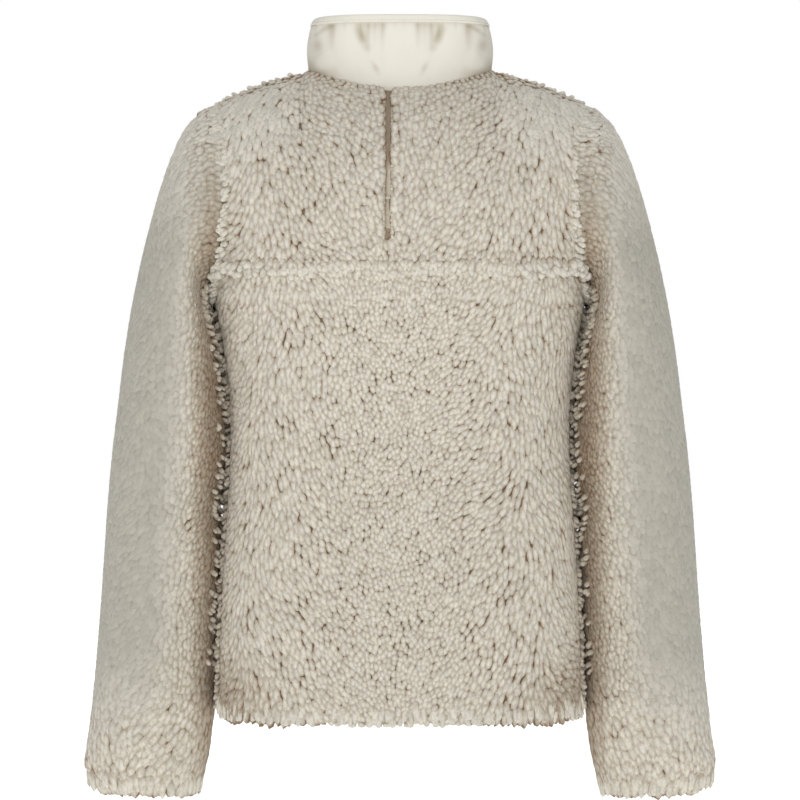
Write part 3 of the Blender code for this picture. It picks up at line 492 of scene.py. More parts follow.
def tilted(away):
    """A level way turned up to the tilt of the neck's edge."""
    return away * math.cos(NECK_EDGE_TILT) + UP * math.sin(NECK_EDGE_TILT)


def way_out(side, u, v, step=0.002):
    """The way out of the cloth: the torso's normal, with a wider step over the kink where the neck
    meets the shoulder seam. Towards the neck it turns to the tilt of the neck's edge, and towards the
    shoulder seam to the mean of both sides."""
    wide = np.where(np.abs(np.abs(u) - NECK_SHARE) < KINK_REACH, KINK_STEP, step)
    out = surface_normal(side, u, v, wide, step)
    neck = tilted(unit((torso(side, u, v) - COLLAR_CENTRE) * LEVEL))
    shoulder = between(np.abs(u), NECK_SHARE - 0.06, NECK_SHARE + 0.06)[..., None]
    both = unit(out + surface_normal(-side, u, v, wide, step))
    share = between(v, NECK_EDGE_FROM, 2.0)[..., None]
    return unit(out * (1 - share) + unit(neck * (1 - shoulder) + both * shoulder) * share)


def body_form(side, u, v):
    """Outer points and the way out, with the body's soft hollows (Gaussian bells) and the low ridge
    of the yoke seam."""
    points = torso(side, u, v)
    out = way_out(side, u, v)
    x, z = points[..., 0], points[..., 2]
    push = np.zeros(x.shape)
    for fold in BODY_FOLDS[BODY_FOLDS["side"] == side]:
        far = ((x - fold["x"]) / fold["reach_x"]) ** 2 + ((z - fold["z"]) / fold["reach_z"]) ** 2
        push = push - fold["depth"] * np.exp(-far)
    if side > 0:
        push = push + YOKE_RIDGE * np.exp(-((z - YOKE_SEAM) / YOKE_RIDGE_REACH) ** 2)
    return points + push[..., None] * out, out


# %% [markdown]
# ## The form of the sleeves
# A sleeve is a tube of rings from the armhole to the cuff. Each ring lies between an outer and an
# inner line seen from behind. To spread rows evenly over a bent tube, the inner side needs shorter
# steps than the outer, so a row's section number is worked out from both lines.

# %% Sizes and surface of the sleeves
SLEEVE = table(("outer_x", "outer_z", "inner_x", "inner_z", "half_depth", "middle", "hollow"), [
    (188.0, -37, 179.5, -213.0, 78, 1, 9.0),
    (203.0, -53, 182.0, -215.5, 79, 2, 5.0),
    (216.0, -79, 181.6, -222.0, 78, 3, 2.0),
    (229.0, -117, 178.4, -236.5, 76, 4, 0.5),
    (242.0, -165, 173.2, -259.0, 74, 4, 0.0),
    (253.0, -215, 168.6, -287.0, 72, 3, 0.0),
    (261.5, -265, 165.4, -319.0, 70, 1, 0.0),
    (267.5, -312, 164.8, -352.0, 68, -2, 0.0),
    (273.2, -357, 165.4, -386.0, 67, -5, 0.0),
    (278.0, -405, 167.2, -423.0, 65, -8, 0.0),
    (281.3, -450, 169.4, -460.0, 63, -11, 0.0),
    (284.6, -495, 171.6, -500.0, 61, -14, 0.0),
    (288.4, -540, 173.6, -542.0, 59, -17, 0.0),
    (292.2, -580, 175.0, -582.0, 57, -20, 0.0),
    (296.0, -613, 178.0, -615.0, 55, -22, 0.0),
    (299.6, -640, 181.0, -642.0, 53, -23, 0.0),
    (301.4, -660, 185.0, -661.0, 50, -24, 0.0),
    (292.0, -680, 190.0, -681.0, 44, -24, 0.0),
])
SLEEVE_FOLDS = table(("section", "turn", "sections", "turns", "depth"), [
    (3.6, 40, 1.5, 26, 3.2),
    (6.5, 48, 1.0, 30, 2.0),
    (8.4, 20, 0.8, 40, -1.8),
    (9.6, 34, 0.8, 40, 2.6),
    (10.8, 15, 0.8, 38, -1.0),
    (13.4, 52, 1.0, 34, 2.2),
    (14.7, 30, 0.7, 40, -1.4),
    (6.0, 320, 1.0, 34, 2.0),
    (9.2, 330, 0.9, 40, 3.4),
    (10.3, 345, 0.8, 40, 2.6),
    (13.8, 318, 1.1, 36, 2.2),
])
SECTIONS = np.arange(1.0, len(SLEEVE) + 1)


def sleeve_tube(turn, section):
    """The left sleeve's outer points: a half circle carried between the outer and the inner line,
    and between the armhole and the first ring a straight blend."""
    at = np.maximum(section, 1.0)
    row = {name: smooth(SECTIONS, SLEEVE[name], at) for name in SLEEVE.dtype.names}
    swing = (1 - np.cos(turn)) / 2
    x = row["inner_x"] + (row["outer_x"] - row["inner_x"]) * swing - row["hollow"] * np.sin(turn) ** 2
    y = row["middle"] + row["half_depth"] * np.sin(turn)
    z = row["inner_z"] + (row["outer_z"] - row["inner_z"]) * swing
    ring = np.stack([x, y, z], axis=-1)
    start = np.stack(armhole_edge(turn), axis=-1)
    share = np.clip(section, 0.0, 1.0)[..., None]
    return start * (1 - share) + ring * share


def sleeve_form(turn, section, way, step=0.01):
    """Outer points and the way out of a sleeve (way 1 left, -1 right), with its soft folds."""
    points = sleeve_tube(turn, section)
    around = sleeve_tube(turn + step, section) - sleeve_tube(turn - step, section)
    along = sleeve_tube(turn, section + step) - sleeve_tube(turn, np.maximum(section - step, 0.0))
    out = unit(np.cross(around, along))
    push = np.zeros(points.shape[:-1])
    for fold in SLEEVE_FOLDS:
        off = (np.degrees(turn) - fold["turn"] + 180) % 360 - 180
        push -= fold["depth"] * np.exp(-((section - fold["section"]) / fold["sections"]) ** 2
                                       - (off / fold["turns"]) ** 2)
    push *= between(section, 1.0, 2.0)
    flip = np.array([way, 1.0, 1.0])
    return (points + push[..., None] * out) * flip, out * flip


def even_section(turn, share):
    """The section number at a share of the sleeve's length, the same share of the outer line on the
    outer side and of the inner line on the inner side."""
    fine = np.linspace(0.0, SECTIONS[-1], 400)
    found = []
    for edge_turn in (0.0, math.pi):
        walked = walk(sleeve_tube(np.full(fine.shape, edge_turn), fine))
        found.append(np.interp(share, walked / walked[-1], fine))
    swing = (1 - np.cos(turn)) / 2
    return found[0] * (1 - swing) + found[1] * swing


print("sleeve sections:", len(SLEEVE))

# %% [markdown]
# ## Pile and backing materials
# The pile's tufts are cream at their tips and turn a warm brown where the light doesn't reach between
# them. Each point of a tuft carries the number `tip`, 0 at its root and 1 at its end, and the colour
# follows it. Each tuft also has a number of its own for a slight difference in tone. Fine curls are
# too small to model, so they are bump. A little sheen gives the pale bloom that pile has at its edges.

# %% Pile
CREVICE = (0.25, 0.16, 0.09)
PILE_SIDE = (0.52, 0.45, 0.355)
PILE_TIP = (0.745, 0.712, 0.625)
# Painted shade: the first darkens the pile between its fine curls, the second greys the sleeves' outer
# sides.
CURL_SHADE = (0.84, 0.80, 0.745)
BRUSHED_PAINTED_SHADE = (0.63, 0.63, 0.612)
RAGGED = 0.24
RAGGED_LUMPS = 300.0
CURL_LUMPS = 400.0


def pile_material():
    """Tufts: colour by the tip number, made ragged by a noise, tone by the tuft's own number, curls as
    bump and as painted shade between them, and greyer where the pile is brushed flat: painted shade of
    the sleeves' turned sides."""
    material, tree, shader = new_material("pile_fleece")
    place = add_place(tree)
    brushed = add_number(tree, "brushed")
    lumps = add_noise(tree, place, RAGGED_LUMPS)
    ragged = add_math(tree, "MULTIPLY_ADD", lumps, RAGGED, add_number(tree, "tip"))
    level = add_math(tree, "SUBTRACT", ragged, RAGGED / 2)
    colour = add_ramp(tree, level, (0.50, CREVICE), (0.77, PILE_SIDE), (0.95, PILE_TIP))
    tone = add_range(tree, add_number(tree, "tone"), 0.90, 1.04)
    toned = add_node(tree, "VectorMath", {0: colour, "Scale": tone}, operation="SCALE").outputs["Vector"]
    stretched = add_node(tree, "Mapping", {"Vector": place, "Scale": (1.0, 1.0, 0.62)}).outputs["Vector"]
    curls = add_noise(tree, stretched, CURL_LUMPS, 3.0, 0.62)
    loose = add_range(tree, brushed, 1.0, 0.25)
    curled = add_product(tree, loose, toned, add_ramp(tree, curls, (0.34, CURL_SHADE), (0.52, WHITE)))
    # Painted shade: the base colour is greyed where the number `brushed` is high.
    give(tree, shader, {
        "Base Color": add_product(tree, brushed, curled, BRUSHED_PAINTED_SHADE),
        "Normal": add_bump(tree, add_math(tree, "MULTIPLY", curls, loose), 0.6, 0.0016),
        "Roughness": 0.92,
        "Specular IOR Level": 0.2,
        "Sheen Weight": 0.22,
        "Sheen Roughness": 0.55,
        "Sheen Tint": (0.95, 0.95, 0.92),
    })
    return material


def root_material():
    """The cloth between the tufts' roots: mottled and rough, and painted brown as painted shade between the
    tufts.
    """
    material, tree, shader = new_material("pile_roots")
    mottle = add_noise(tree, add_place(tree), 420.0, 3.0, 0.6)
    # Painted shade: the dark brown that shows deep between the tufts.
    give(tree, shader, {
        "Base Color": add_ramp(tree, mottle, (0.3, (0.22, 0.15, 0.09)), (0.7, (0.42, 0.34, 0.24))),
        "Normal": add_bump(tree, mottle, 0.8, 0.001),
        "Roughness": 0.95,
        "Specular IOR Level": 0.15,
    })
    return material


def backing_material():
    """The inside of the cloth: a fine pale knit of small loops in columns and rows."""
    material, tree, shader = new_material("knit_backing")
    place = add_place(tree)
    inputs = {"Vector": place, "Scale": 560.0, "Randomness": 0.35}
    loops = add_node(tree, "TexVoronoi", inputs).outputs["Distance"]
    knit = add_ramp(tree, loops, (0.1, (0.60, 0.555, 0.46)), (0.8, (0.40, 0.355, 0.28)))
    mottle = add_ramp(tree, add_noise(tree, place, 60.0), (0.3, (0.86, 0.86, 0.86)), (0.7, WHITE))
    give(tree, shader, {
        "Base Color": add_product(tree, 1.0, knit, mottle),
        "Normal": add_bump(tree, loops, 0.4, 0.0005),
        "Roughness": 0.9,
        "Specular IOR Level": 0.2,
    })
    return material


pile_cloth = pile_material()
pile_roots = root_material()
knit_backing = backing_material()
print("pile materials made")

# %% [markdown]
# ## Cloth shells
# Under the tufts each panel has the cloth that carries them: a thin shell on the CAD solid's own
# form, set in from its outer face by the length of the tufts. Its outer face is painted brown: painted
# shade between the tufts. Its inside is the knitted backing that shows through the neck and the hem.

# %% Shell of a panel
TUFT_LENGTH = 3.9
CLOTH_DEPTH = TUFT_LENGTH - 0.5


def cloth_shell(name, points, out, closed, outward, outer_depth, inner_depth, materials):
    """A thin shell: the form moved in by outer_depth, and again by inner_depth, joined round its
    edges. outward says whether the grid's own faces point out."""
    rows, columns = points.shape[:2]
    both = np.concatenate([(points - depth * out).reshape(-1, 3) for depth in (outer_depth, inner_depth)])
    skin = grid_faces(rows, columns, closed)
    index = grid_index(rows, columns, closed)
    under = index + rows * columns
    rims = [(index[0], under[0]), (index[-1, ::-1], under[-1, ::-1])]
    if not closed:
        rims += [(index[::-1, 0], under[::-1, 0]), (index[:, -1], under[:, -1])]
    sides = [np.stack([top[1:], top[:-1], low[:-1], low[1:]], axis=-1) for top, low in rims]
    faces = np.concatenate([skin, skin[:, ::-1] + rows * columns] + sides)
    if not outward:
        faces = faces[:, ::-1]
    mesh = mesh_from(name, both, faces)
    number = np.ones(len(faces), dtype=np.int32)
    number[:len(skin)] = 0
    mesh.polygons.foreach_set("material_index", number)
    mesh.set_sharp_from_angle(angle=math.radians(50.0))
    return add_piece(name, mesh, *materials)


def pile_shell(name, points, out, closed, outward):
    """The cloth under a panel's tufts, and the area of its middle surface in square metres."""
    shell = cloth_shell(name, points, out, closed, outward, CLOTH_DEPTH, PILE_WALL,
                        (pile_roots, knit_backing))
    area = area_of(points - (CLOTH_DEPTH + PILE_WALL) / 2 * out, closed)
    print(name, "area:", round(area, 4), "m2")
    return shell, area


# %% Closed profiles


def signed_volume(points, triangles):
    """The volume inside closed triangles: a sixth of the sum of their corners' triple products."""
    a, b, c = points[triangles[:, 0]], points[triangles[:, 1]], points[triangles[:, 2]]
    return np.sum(a * np.cross(b, c)) / 6


def profile_mesh(name, grid):
    """A closed profile (rows of the grid) carried along a path (columns), with a fan over each end."""
    around, along = grid.shape[:2]
    points = np.concatenate([grid.reshape(-1, 3), [grid[:, 0].mean(0), grid[:, -1].mean(0)]])
    index = grid_index(around, along)
    index = np.concatenate([index, index[:1]])
    low, high = index[:-1], index[1:]
    faces = [np.stack([low[:, :-1], low[:, 1:], high[:, 1:]], -1).reshape(-1, 3),
             np.stack([low[:, :-1], high[:, 1:], high[:, :-1]], -1).reshape(-1, 3),
             np.stack([np.full(around, around * along), low[:, 0], high[:, 0]], -1),
             np.stack([np.full(around, around * along + 1), high[:, -1], low[:, -1]], -1)]
    faces = np.concatenate(faces)
    if signed_volume(points - points.mean(0), faces) < 0:
        faces = faces[:, ::-1]
    mesh = mesh_from(name, points, faces)
    mesh.set_sharp_from_angle(angle=math.radians(60.0))
    return mesh


# %% [markdown]
# ## Tufts
# Each tuft is a small open dome of 24 triangles that grows out of the cloth, a little longer along
# the way the pile lies. Their places are scattered by turns: of the points on a fine grid, those with
# the highest random number within a tuft's own ellipse are kept, their ellipses are cleared, and the
# rest play again. That gives the close, uneven packing of real pile, without rows.

# %% Scatter
SCATTER_TURNS = 9
SCATTER_ROWS = 8
SCATTER_COLUMNS = 6


def scatter(points, across, along, wide, long, free, first, closed, seed):
    """Which grid points carry a tuft: no two closer than the ellipse with the half axes wide (along
    across) and long (along along). The edges and the points marked first play before the rest, so that
    a row of tufts covers each seam."""
    chance = np.random.default_rng(seed).random(points.shape[:2])
    chance[[0, -1]] += 1
    chance[first] += 1
    if not closed:
        chance[:, [0, -1]] += 1
    moves = [(i, j) for i in range(-SCATTER_ROWS, SCATTER_ROWS + 1)
             for j in range(-SCATTER_COLUMNS, SCATTER_COLUMNS + 1) if (i, j) != (0, 0)]
    near = []
    for move in moves:
        apart = np.roll(points, move, axis=(0, 1)) - points
        near.append((np.sum(apart * across, -1) / wide) ** 2 + (np.sum(apart * along, -1) / long) ** 2
                    + (np.linalg.norm(apart, axis=-1) / (3 * long)) ** 2 < 1)
    kept = np.zeros(free.shape, dtype=bool)
    for _ in range(SCATTER_TURNS):
        bid = np.where(free, chance, -1.0)
        best = free.copy()
        for move, close in zip(moves, near):
            best &= ~(close & (np.roll(bid, move, axis=(0, 1)) > chance))
        kept |= best
        for move, close in zip(moves, near):
            free = free & ~(close & np.roll(best, move, axis=(0, 1)))
        free = free & ~best
        if not free.any():
            break
    return kept


# %% Tuft shape
TUFT_SIDES = 8
TUFT_RINGS = ((1.0, 0.05, 0.0), (0.74, 0.80, 0.08))
TUFT_TIP = (1.0, 0.16)
TUFT_SPREAD = 1.10
TUFT_STRETCH = 1.28
PAINTED_SHADE_TIP = 0.30


def tufts(centre, across, along, out, wide, long, tall, seed):
    """Domes at the centres: each ring is an ellipse of its share of wide and long, raised by its
    share of tall and moved on along the pile's way, with an uneven edge. Returns points, faces, the
    tip number and the tuft's own number."""
    random = np.random.default_rng(seed)
    count = len(centre)
    angle = np.arange(TUFT_SIDES) / TUFT_SIDES * 2 * math.pi
    rows = []
    for reach, rise, lean in TUFT_RINGS:
        uneven = 1 + random.uniform(-0.13, 0.13, (count, TUFT_SIDES))
        side = np.cos(angle) * reach * uneven * wide[:, None]
        ahead = (np.sin(angle) * reach * uneven + lean) * long[:, None]
        high = rise * tall[:, None] * (1 + random.uniform(-0.08, 0.08, (count, TUFT_SIDES)))
        rows.append(centre[:, None] + side[..., None] * across[:, None] + ahead[..., None] * along[:, None]
                    + high[..., None] * out[:, None])
    rise, lean = TUFT_TIP
    tip = centre + (lean * long)[:, None] * along + (rise * tall)[:, None] * out
    points = np.concatenate(rows + [tip[:, None]], axis=1)
    level = np.repeat([ring[1] for ring in TUFT_RINGS] + [1.0], [TUFT_SIDES] * len(TUFT_RINGS) + [1])
    faces = []
    for ring in range(len(TUFT_RINGS) - 1):
        faces += band_faces(TUFT_SIDES, ring * TUFT_SIDES, (ring + 1) * TUFT_SIDES)
    faces.append(tip_faces(TUFT_SIDES, (len(TUFT_RINGS) - 1) * TUFT_SIDES, len(TUFT_RINGS) * TUFT_SIDES))
    each = points.shape[1]
    return (points.reshape(-1, 3), faces_of_each(faces, count, each), np.tile(level, count),
            np.repeat(random.random(count), each))


def pile_piece(name, points, out, flow, wide, long, spread, brushed, painted_shade, free, first, closed, seed):
    """The tufts of one panel. flow is the way the pile lies, wide and long are a tuft's spacing across
    and along it, and spread is how wide the tuft is for that spacing. brushed (0 to 1) says how far
    the tufts are brushed together into one surface, and also paints them greyer: painted shade. The
    number after it moves their colour towards the brown of their sides, a painted shade, and below 0
    makes them paler."""
    along = unit(flow - np.sum(flow * out, -1)[..., None] * out)
    across = np.cross(along, out)
    kept = scatter(points, across, along, wide, long, free, first, closed, seed)
    random = np.random.default_rng(seed + 1)
    count = int(kept.sum())
    flat = brushed[kept]
    size = random.uniform(0.88, 1.16, count) * (1 + 0.35 * flat)
    tall = TUFT_LENGTH * (1 + 0.16 * random.uniform(-1, 0.5, count) * (1 - 0.8 * flat))
    centre = points[kept] - TUFT_LENGTH * out[kept]
    shape, faces, tip, tone = tufts(centre, across[kept], along[kept], out[kept],
                                    wide[kept] * size * spread[kept], long[kept] * size * TUFT_STRETCH,
                                    tall, seed + 2)
    mesh = mesh_from(name, shape, faces)
    each = TUFT_SIDES * len(TUFT_RINGS) + 1
    flat = np.repeat(flat, each)
    # Painted shade: the tip number is lowered, which moves the tufts' colour to the brown of their sides.
    pile_shade_drop = PAINTED_SHADE_TIP * np.repeat(painted_shade[kept], each)
    give_number(mesh, "tip", 1 - (1 - tip) * (1 - 0.6 * flat) - pile_shade_drop)
    give_number(mesh, "tone", tone)
    give_number(mesh, "brushed", flat)
    piece = add_piece(name, mesh, pile_cloth)
    print(name, "tufts:", count, "triangles:", len(faces))
    return piece


# %% [markdown]
# ## How the pile lies
# On the back the tufts are small and round in the middle and grow longer towards the sides. They hang
# down, lean in towards the middle half way out, and lean outwards along the sides. Slow waves in the
# angle stand for the swirls that wear leaves in any pile.

# %% Lie of the body's pile
PILE_STEP = 1.6
LEAN = table(("x", "degrees"), [
    (0, 0.0), (35, -16.0), (70, -30.0), (105, -8.0), (140, 10.0), (165, 34.0), (185, 40.0),
])
SPACING = table(("x", "wide", "long"), [
    (0, 3.5, 4.0), (45, 3.6, 4.6), (85, 4.3, 6.6), (125, 4.9, 8.6), (160, 5.0, 9.0), (190, 5.0, 8.4),
])
YOKE_TUFT_WIDE = 4.4
YOKE_TUFT_LONG = 6.6
JITTER = 0.4
SWIRL = 20.0
CORNER_PAINTED_SHADE = 0.8
SHOULDER_LIFT = 0.45


def slow_waves(points, seed):
    """A smooth number between about -1 and 1 that changes over some 60 mm: the sum of sine waves in
    random directions."""
    random = np.random.default_rng(seed)
    total = np.zeros(points.shape[:-1])
    for _ in range(7):
        way = unit(random.normal(size=3))
        length, start = random.uniform(55, 130), random.uniform(0, 2 * math.pi)
        total += np.sin(points @ way * 2 * math.pi / length + start)
    return total / 3.2


def body_pile(name, side, columns, rows, seed, edge):
    """The tufts of a body panel between the given columns and rows of the torso. Towards the panel's
    low corners their colour is painted browner, a painted shade, and on the shoulders it is painted paler."""
    random = np.random.default_rng(seed + 7)
    u, v = np.meshgrid(columns, rows)
    step = columns[1] - columns[0]
    u = np.clip(u + random.uniform(-JITTER, JITTER, u.shape) * step, columns[0], columns[-1])
    v = v + random.uniform(-JITTER, JITTER, v.shape) * np.gradient(rows)[:, None]
    v = np.clip(v, rows[0], rows[-1])
    points, out = body_form(side, u, v)
    x, z = np.abs(points[..., 0]), points[..., 2]
    lean = np.radians(smooth(LEAN["x"], LEAN["degrees"], x) + SWIRL * slow_waves(points, 11))
    outward = np.sign(points[..., 0]) * np.sin(lean)
    flow = np.stack([outward, 0 * outward, -np.cos(lean)], axis=-1)
    facing = np.where(np.abs(out[..., 1]) < 0.3, 0.3 * side, out[..., 1])
    flow[..., 1] = -(flow[..., 0] * out[..., 0] + flow[..., 2] * out[..., 2]) / facing
    above = between(z, YOKE_SEAM, YOKE_SEAM + 20)
    wide = smooth(SPACING["x"], SPACING["wide"], x)
    wide = wide * (1 - above) + np.maximum(wide, YOKE_TUFT_WIDE) * above
    long = smooth(SPACING["x"], SPACING["long"], x)
    long = long * (1 - above) + np.maximum(long, YOKE_TUFT_LONG) * above
    # Painted shade: browner tufts at the panel's low corners; on the shoulders the number goes below 0 and
    # makes them paler.
    painted_shade = CORNER_PAINTED_SHADE * between(x, 110, 170) * between(z, -540, -600)
    painted_shade = painted_shade - SHOULDER_LIFT * between(z, -100, -50) * between(x, 85, 130)
    free = np.ones(x.shape, dtype=bool) if edge is None else edge(points)
    spread = TUFT_SPREAD + 0.02 - 0.13 * between(x, 40, 80)
    corner = (np.abs(np.abs(u) - NECK_SHARE) < 0.5 * step) & (v > 1.75)
    return pile_piece(name, points, out, flow, wide, long, spread, 0 * x, painted_shade, free, corner, False, seed)


# %% Back panel
SHELL_STEP = 6.0
HALF_ROUND = 232.0


def even_rows(start, end, step):
    """Rows of the torso between two v values, about a step apart on the cloth."""
    lower = np.arange(start, min(end, 1.0), step / (UNDERARM - HEM))
    upper_step = step * 0.8 / (math.pi * ARMHOLE_HALF_HEIGHT)
    upper = np.arange(max(start, 1.0), end, upper_step)
    return np.concatenate([lower, upper, [end]])


def body_shell(name, side, columns, rows):
    """The cloth of a body panel between the given columns and rows of the torso, and its area."""
    points, out = body_form(side, *np.meshgrid(columns, rows))
    return pile_shell(name, points, out, False, side < 0)


SEAM_V = 1 + YOKE_TURN / math.pi
BODY_REST_ROWS = even_rows(0.0, SEAM_V, SHELL_STEP)
back_cloth, back_area = body_shell("back_cloth", 1, np.linspace(-1, 1, 77), BODY_REST_ROWS)
back_columns = np.linspace(-1, 1, int(2 * HALF_ROUND / PILE_STEP))
back_pile = body_pile("back_pile", 1, back_columns, even_rows(0.006, SEAM_V - 0.004, PILE_STEP), 100, None)

# %% [markdown]
# ## Yoke
# The yoke reaches from the seam below the shoulder blades over the shoulders. A short vertical seam,
# 11 mm to the wearer's left of the middle, parts it in two. Along this seam the pile stands back and
# leaves a narrow channel, so no tuft grows there.

# %% Yoke halves
YOKE_SPLIT = 11.0
YOKE_GROOVE_END = -168.0
STRIP_PALE = -95.0
SPLIT_U = YOKE_SPLIT / NECK_HALF_WIDTH * NECK_SHARE * 2 / math.pi
YOKE_ROWS = even_rows(SEAM_V, 2.0, SHELL_STEP)
YOKE_PILE_ROWS = even_rows(SEAM_V + 0.006, 1.996, PILE_STEP)
SEAM_LINE_V = np.linspace(SEAM_V, 2.0, 200)
SEAM_LINE_Z = body_form(1, np.full(200, SPLIT_U), SEAM_LINE_V)[0][:, 2]


def seam_form(height):
    """Outer points on the vertical seam at these heights, and the way out."""
    return body_form(1, np.full(len(height), SPLIT_U), np.interp(height, SEAM_LINE_Z, SEAM_LINE_V))


def clear_of_groove(points):
    """True where a tuft's foot keeps its distance from the vertical seam."""
    apart = np.abs(points[..., 0] - YOKE_SPLIT)
    return apart > np.where(points[..., 2] > YOKE_GROOVE_END, 5.9, 1.5)


yoke_area = {}
yoke_cloth = {}
for half, start, end, seed in (("left", SPLIT_U, 1.0, 200), ("right", -1.0, SPLIT_U, 210)):
    columns = np.linspace(start, end, 40)
    yoke_cloth[half], yoke_area[half] = body_shell("yoke_" + half + "_cloth", 1, columns, YOKE_ROWS)
    columns = np.linspace(start, end, int(HALF_ROUND * (end - start) / PILE_STEP))
    body_pile("yoke_" + half + "_pile", 1, columns, YOKE_PILE_ROWS, seed, clear_of_groove)

# %% [markdown]
# ## Fronts
# The photograph hides the front. It is finished plainly, with the same cloth and one zip up the
# middle, since a jacket of this kind has to open somewhere.

# %% Fronts
ZIP_CHANNEL = 7.0
FRONT_ROWS = even_rows(0.0, 2.0, SHELL_STEP)
FRONT_PILE_ROWS = even_rows(0.006, 1.996, PILE_STEP)


def clear_of_zip(points):
    """True where a tuft's foot keeps its distance from the zip."""
    return np.abs(points[..., 0]) > ZIP_CHANNEL + 3.5


front_area = {}
front_cloth = {}
for half, way, seed in (("left", 1, 300), ("right", -1, 310)):
    columns = np.sort(way * np.linspace(0.04, 1.0, 38))
    front_cloth[half], front_area[half] = body_shell("front_" + half + "_cloth", -1, columns, FRONT_ROWS)
    columns = np.sort(way * np.linspace(0.04, 1.0, int(HALF_ROUND / PILE_STEP)))
    body_pile("front_" + half + "_pile", -1, columns, FRONT_PILE_ROWS, seed, clear_of_zip)

# %% [markdown]
# ## Sleeves
# Each sleeve is one tube of cloth. Its pile hangs towards the cuff. On the outer side the pile is
# brushed nearly flat, so its tufts hardly stand apart there, and its colour is painted greyer: painted
# shade of the sleeve's turned side. Towards the body and at the cuff they are as full as on the back, and
# beside the body they are painted browner: painted shade of the valley between sleeve and body.

# %% Sleeve shells and pile
SLEEVE_ROUND = 430.0
SLEEVE_LONG = 640.0
SLEEVE_ENDS = (0.006, 0.998)
SLEEVE_LEAN = 12.0
SLEEVE_SWIRL = 18.0


def sleeve_shell(name, way):
    """The cloth of a sleeve, and its area."""
    turn, share = np.meshgrid(np.arange(64) / 64 * 2 * math.pi, np.linspace(0.0, 1.0, 110))
    points, out = sleeve_form(turn, even_section(turn, share), way)
    return pile_shell(name, points, out, True, way > 0)


def sleeve_pile(name, way, seed):
    """A sleeve's tufts. Their spacing and how far they are brushed flat change with height and turn,
    and near the body they are smaller and painted browner: painted shade of the valley beside the body.
    Higher up, away from the body, they are painted paler."""
    random = np.random.default_rng(seed + 7)
    columns = int(SLEEVE_ROUND / PILE_STEP)
    rows = int(SLEEVE_LONG / PILE_STEP)
    turn, share = np.meshgrid(np.arange(columns) / columns * 2 * math.pi, np.linspace(*SLEEVE_ENDS, rows))
    turn = turn + random.uniform(-JITTER, JITTER, turn.shape) * 2 * math.pi / columns
    share = np.clip(share + random.uniform(-JITTER, JITTER, share.shape) / rows, SLEEVE_ENDS[0], 0.999)
    section = even_section(turn, share)
    points, out = sleeve_form(turn, section, way)
    ahead, _ = sleeve_form(turn, section + 0.05, way)
    down = unit(ahead - points)
    lean = np.radians(SLEEVE_SWIRL * slow_waves(points, 23) + SLEEVE_LEAN)
    flow = down * np.cos(lean)[..., None] + np.cross(down, out) * (way * np.sin(lean))[..., None]
    height = points[..., 2]
    outer = between((1 - np.cos(turn)) / 2, 0.25, 0.55)
    # On the outer side, brushed also paints the tufts greyer: painted shade of the sleeve's turned side.
    brushed = outer * between(height, -60, -170) * between(height, -640, -550)
    lower = between(height, -560, -620)
    # Painted shade: beside the body the tufts' colour is moved towards brown, for the shade of the valley
    # there; higher up, away from the body, it is moved paler.
    near = between(np.abs(points[..., 0]), 198, 176) * between(height, -70, -200)
    painted_shade = near - SHOULDER_LIFT * between(height, -150, -80) * (near <= 0)
    wide = 4.1 + 0.9 * lower - 0.4 * near
    long = 5.6 + 2.6 * lower - 0.9 * near
    spread = np.full(turn.shape, TUFT_SPREAD)
    free = np.ones(turn.shape, dtype=bool)
    return pile_piece(name, points, out, flow, wide, long, spread, brushed, painted_shade, free, ~free, True, seed)


sleeve_area = {}
sleeve_cloth = {}
for half, way, seed in (("left", 1, 400), ("right", -1, 410)):
    sleeve_cloth[half], sleeve_area[half] = sleeve_shell("sleeve_" + half + "_cloth", way)
    sleeve_pile("sleeve_" + half + "_pile", way, seed)

# %% [markdown]
# ## Hanging tufts
# At the hem and the cuffs the pile's last tufts hang free over the edge, and along the yoke seam the
# pile of both panels meets in larger, paler tufts. Finer ones stand out hairily round the armholes and
# along the shoulders, fill the narrow gap beside the body and edge the channel of the vertical seam.
# All are closed spindles: rings of six points along a line, thin at the root and round at the end.

# %% Lock shape
LOCK_SIDES = 6
LOCK_RINGS = ((0.12, 0.72), (0.48, 1.0), (0.86, 0.86))
LOCK_TIPS = (0.5, 0.72, 0.92, 1.0, 1.0)


def locks(root, along, across, out, long, wide, thick):
    """Closed spindles: at each share of the length a flat ring with its share of wide and thick, and
    a point at both ends. Returns points, faces and the tip number."""
    count = len(root)
    angle = np.arange(LOCK_SIDES) / LOCK_SIDES * 2 * math.pi
    rows = [root[:, None]]
    for place, reach in LOCK_RINGS:
        ring = root + place * long[:, None] * along
        ring = (ring[:, None] + (np.cos(angle) * reach * wide[:, None])[..., None] * across[:, None]
                + (np.sin(angle) * reach * thick[:, None])[..., None] * out[:, None])
        rows.append(ring)
    rows.append((root + long[:, None] * along)[:, None])
    points = np.concatenate(rows, axis=1)
    end = 1 + LOCK_SIDES * len(LOCK_RINGS)
    faces = [tip_faces(LOCK_SIDES, 1, 0)[:, ::-1]]
    for ring in range(len(LOCK_RINGS) - 1):
        faces += band_faces(LOCK_SIDES, 1 + ring * LOCK_SIDES, 1 + (ring + 1) * LOCK_SIDES)
    faces.append(tip_faces(LOCK_SIDES, end - LOCK_SIDES, end))
    level = np.repeat(LOCK_TIPS, [1] + [LOCK_SIDES] * len(LOCK_RINGS) + [1])
    return points.reshape(-1, 3), faces_of_each(faces, count, points.shape[1]), np.tile(level, count)


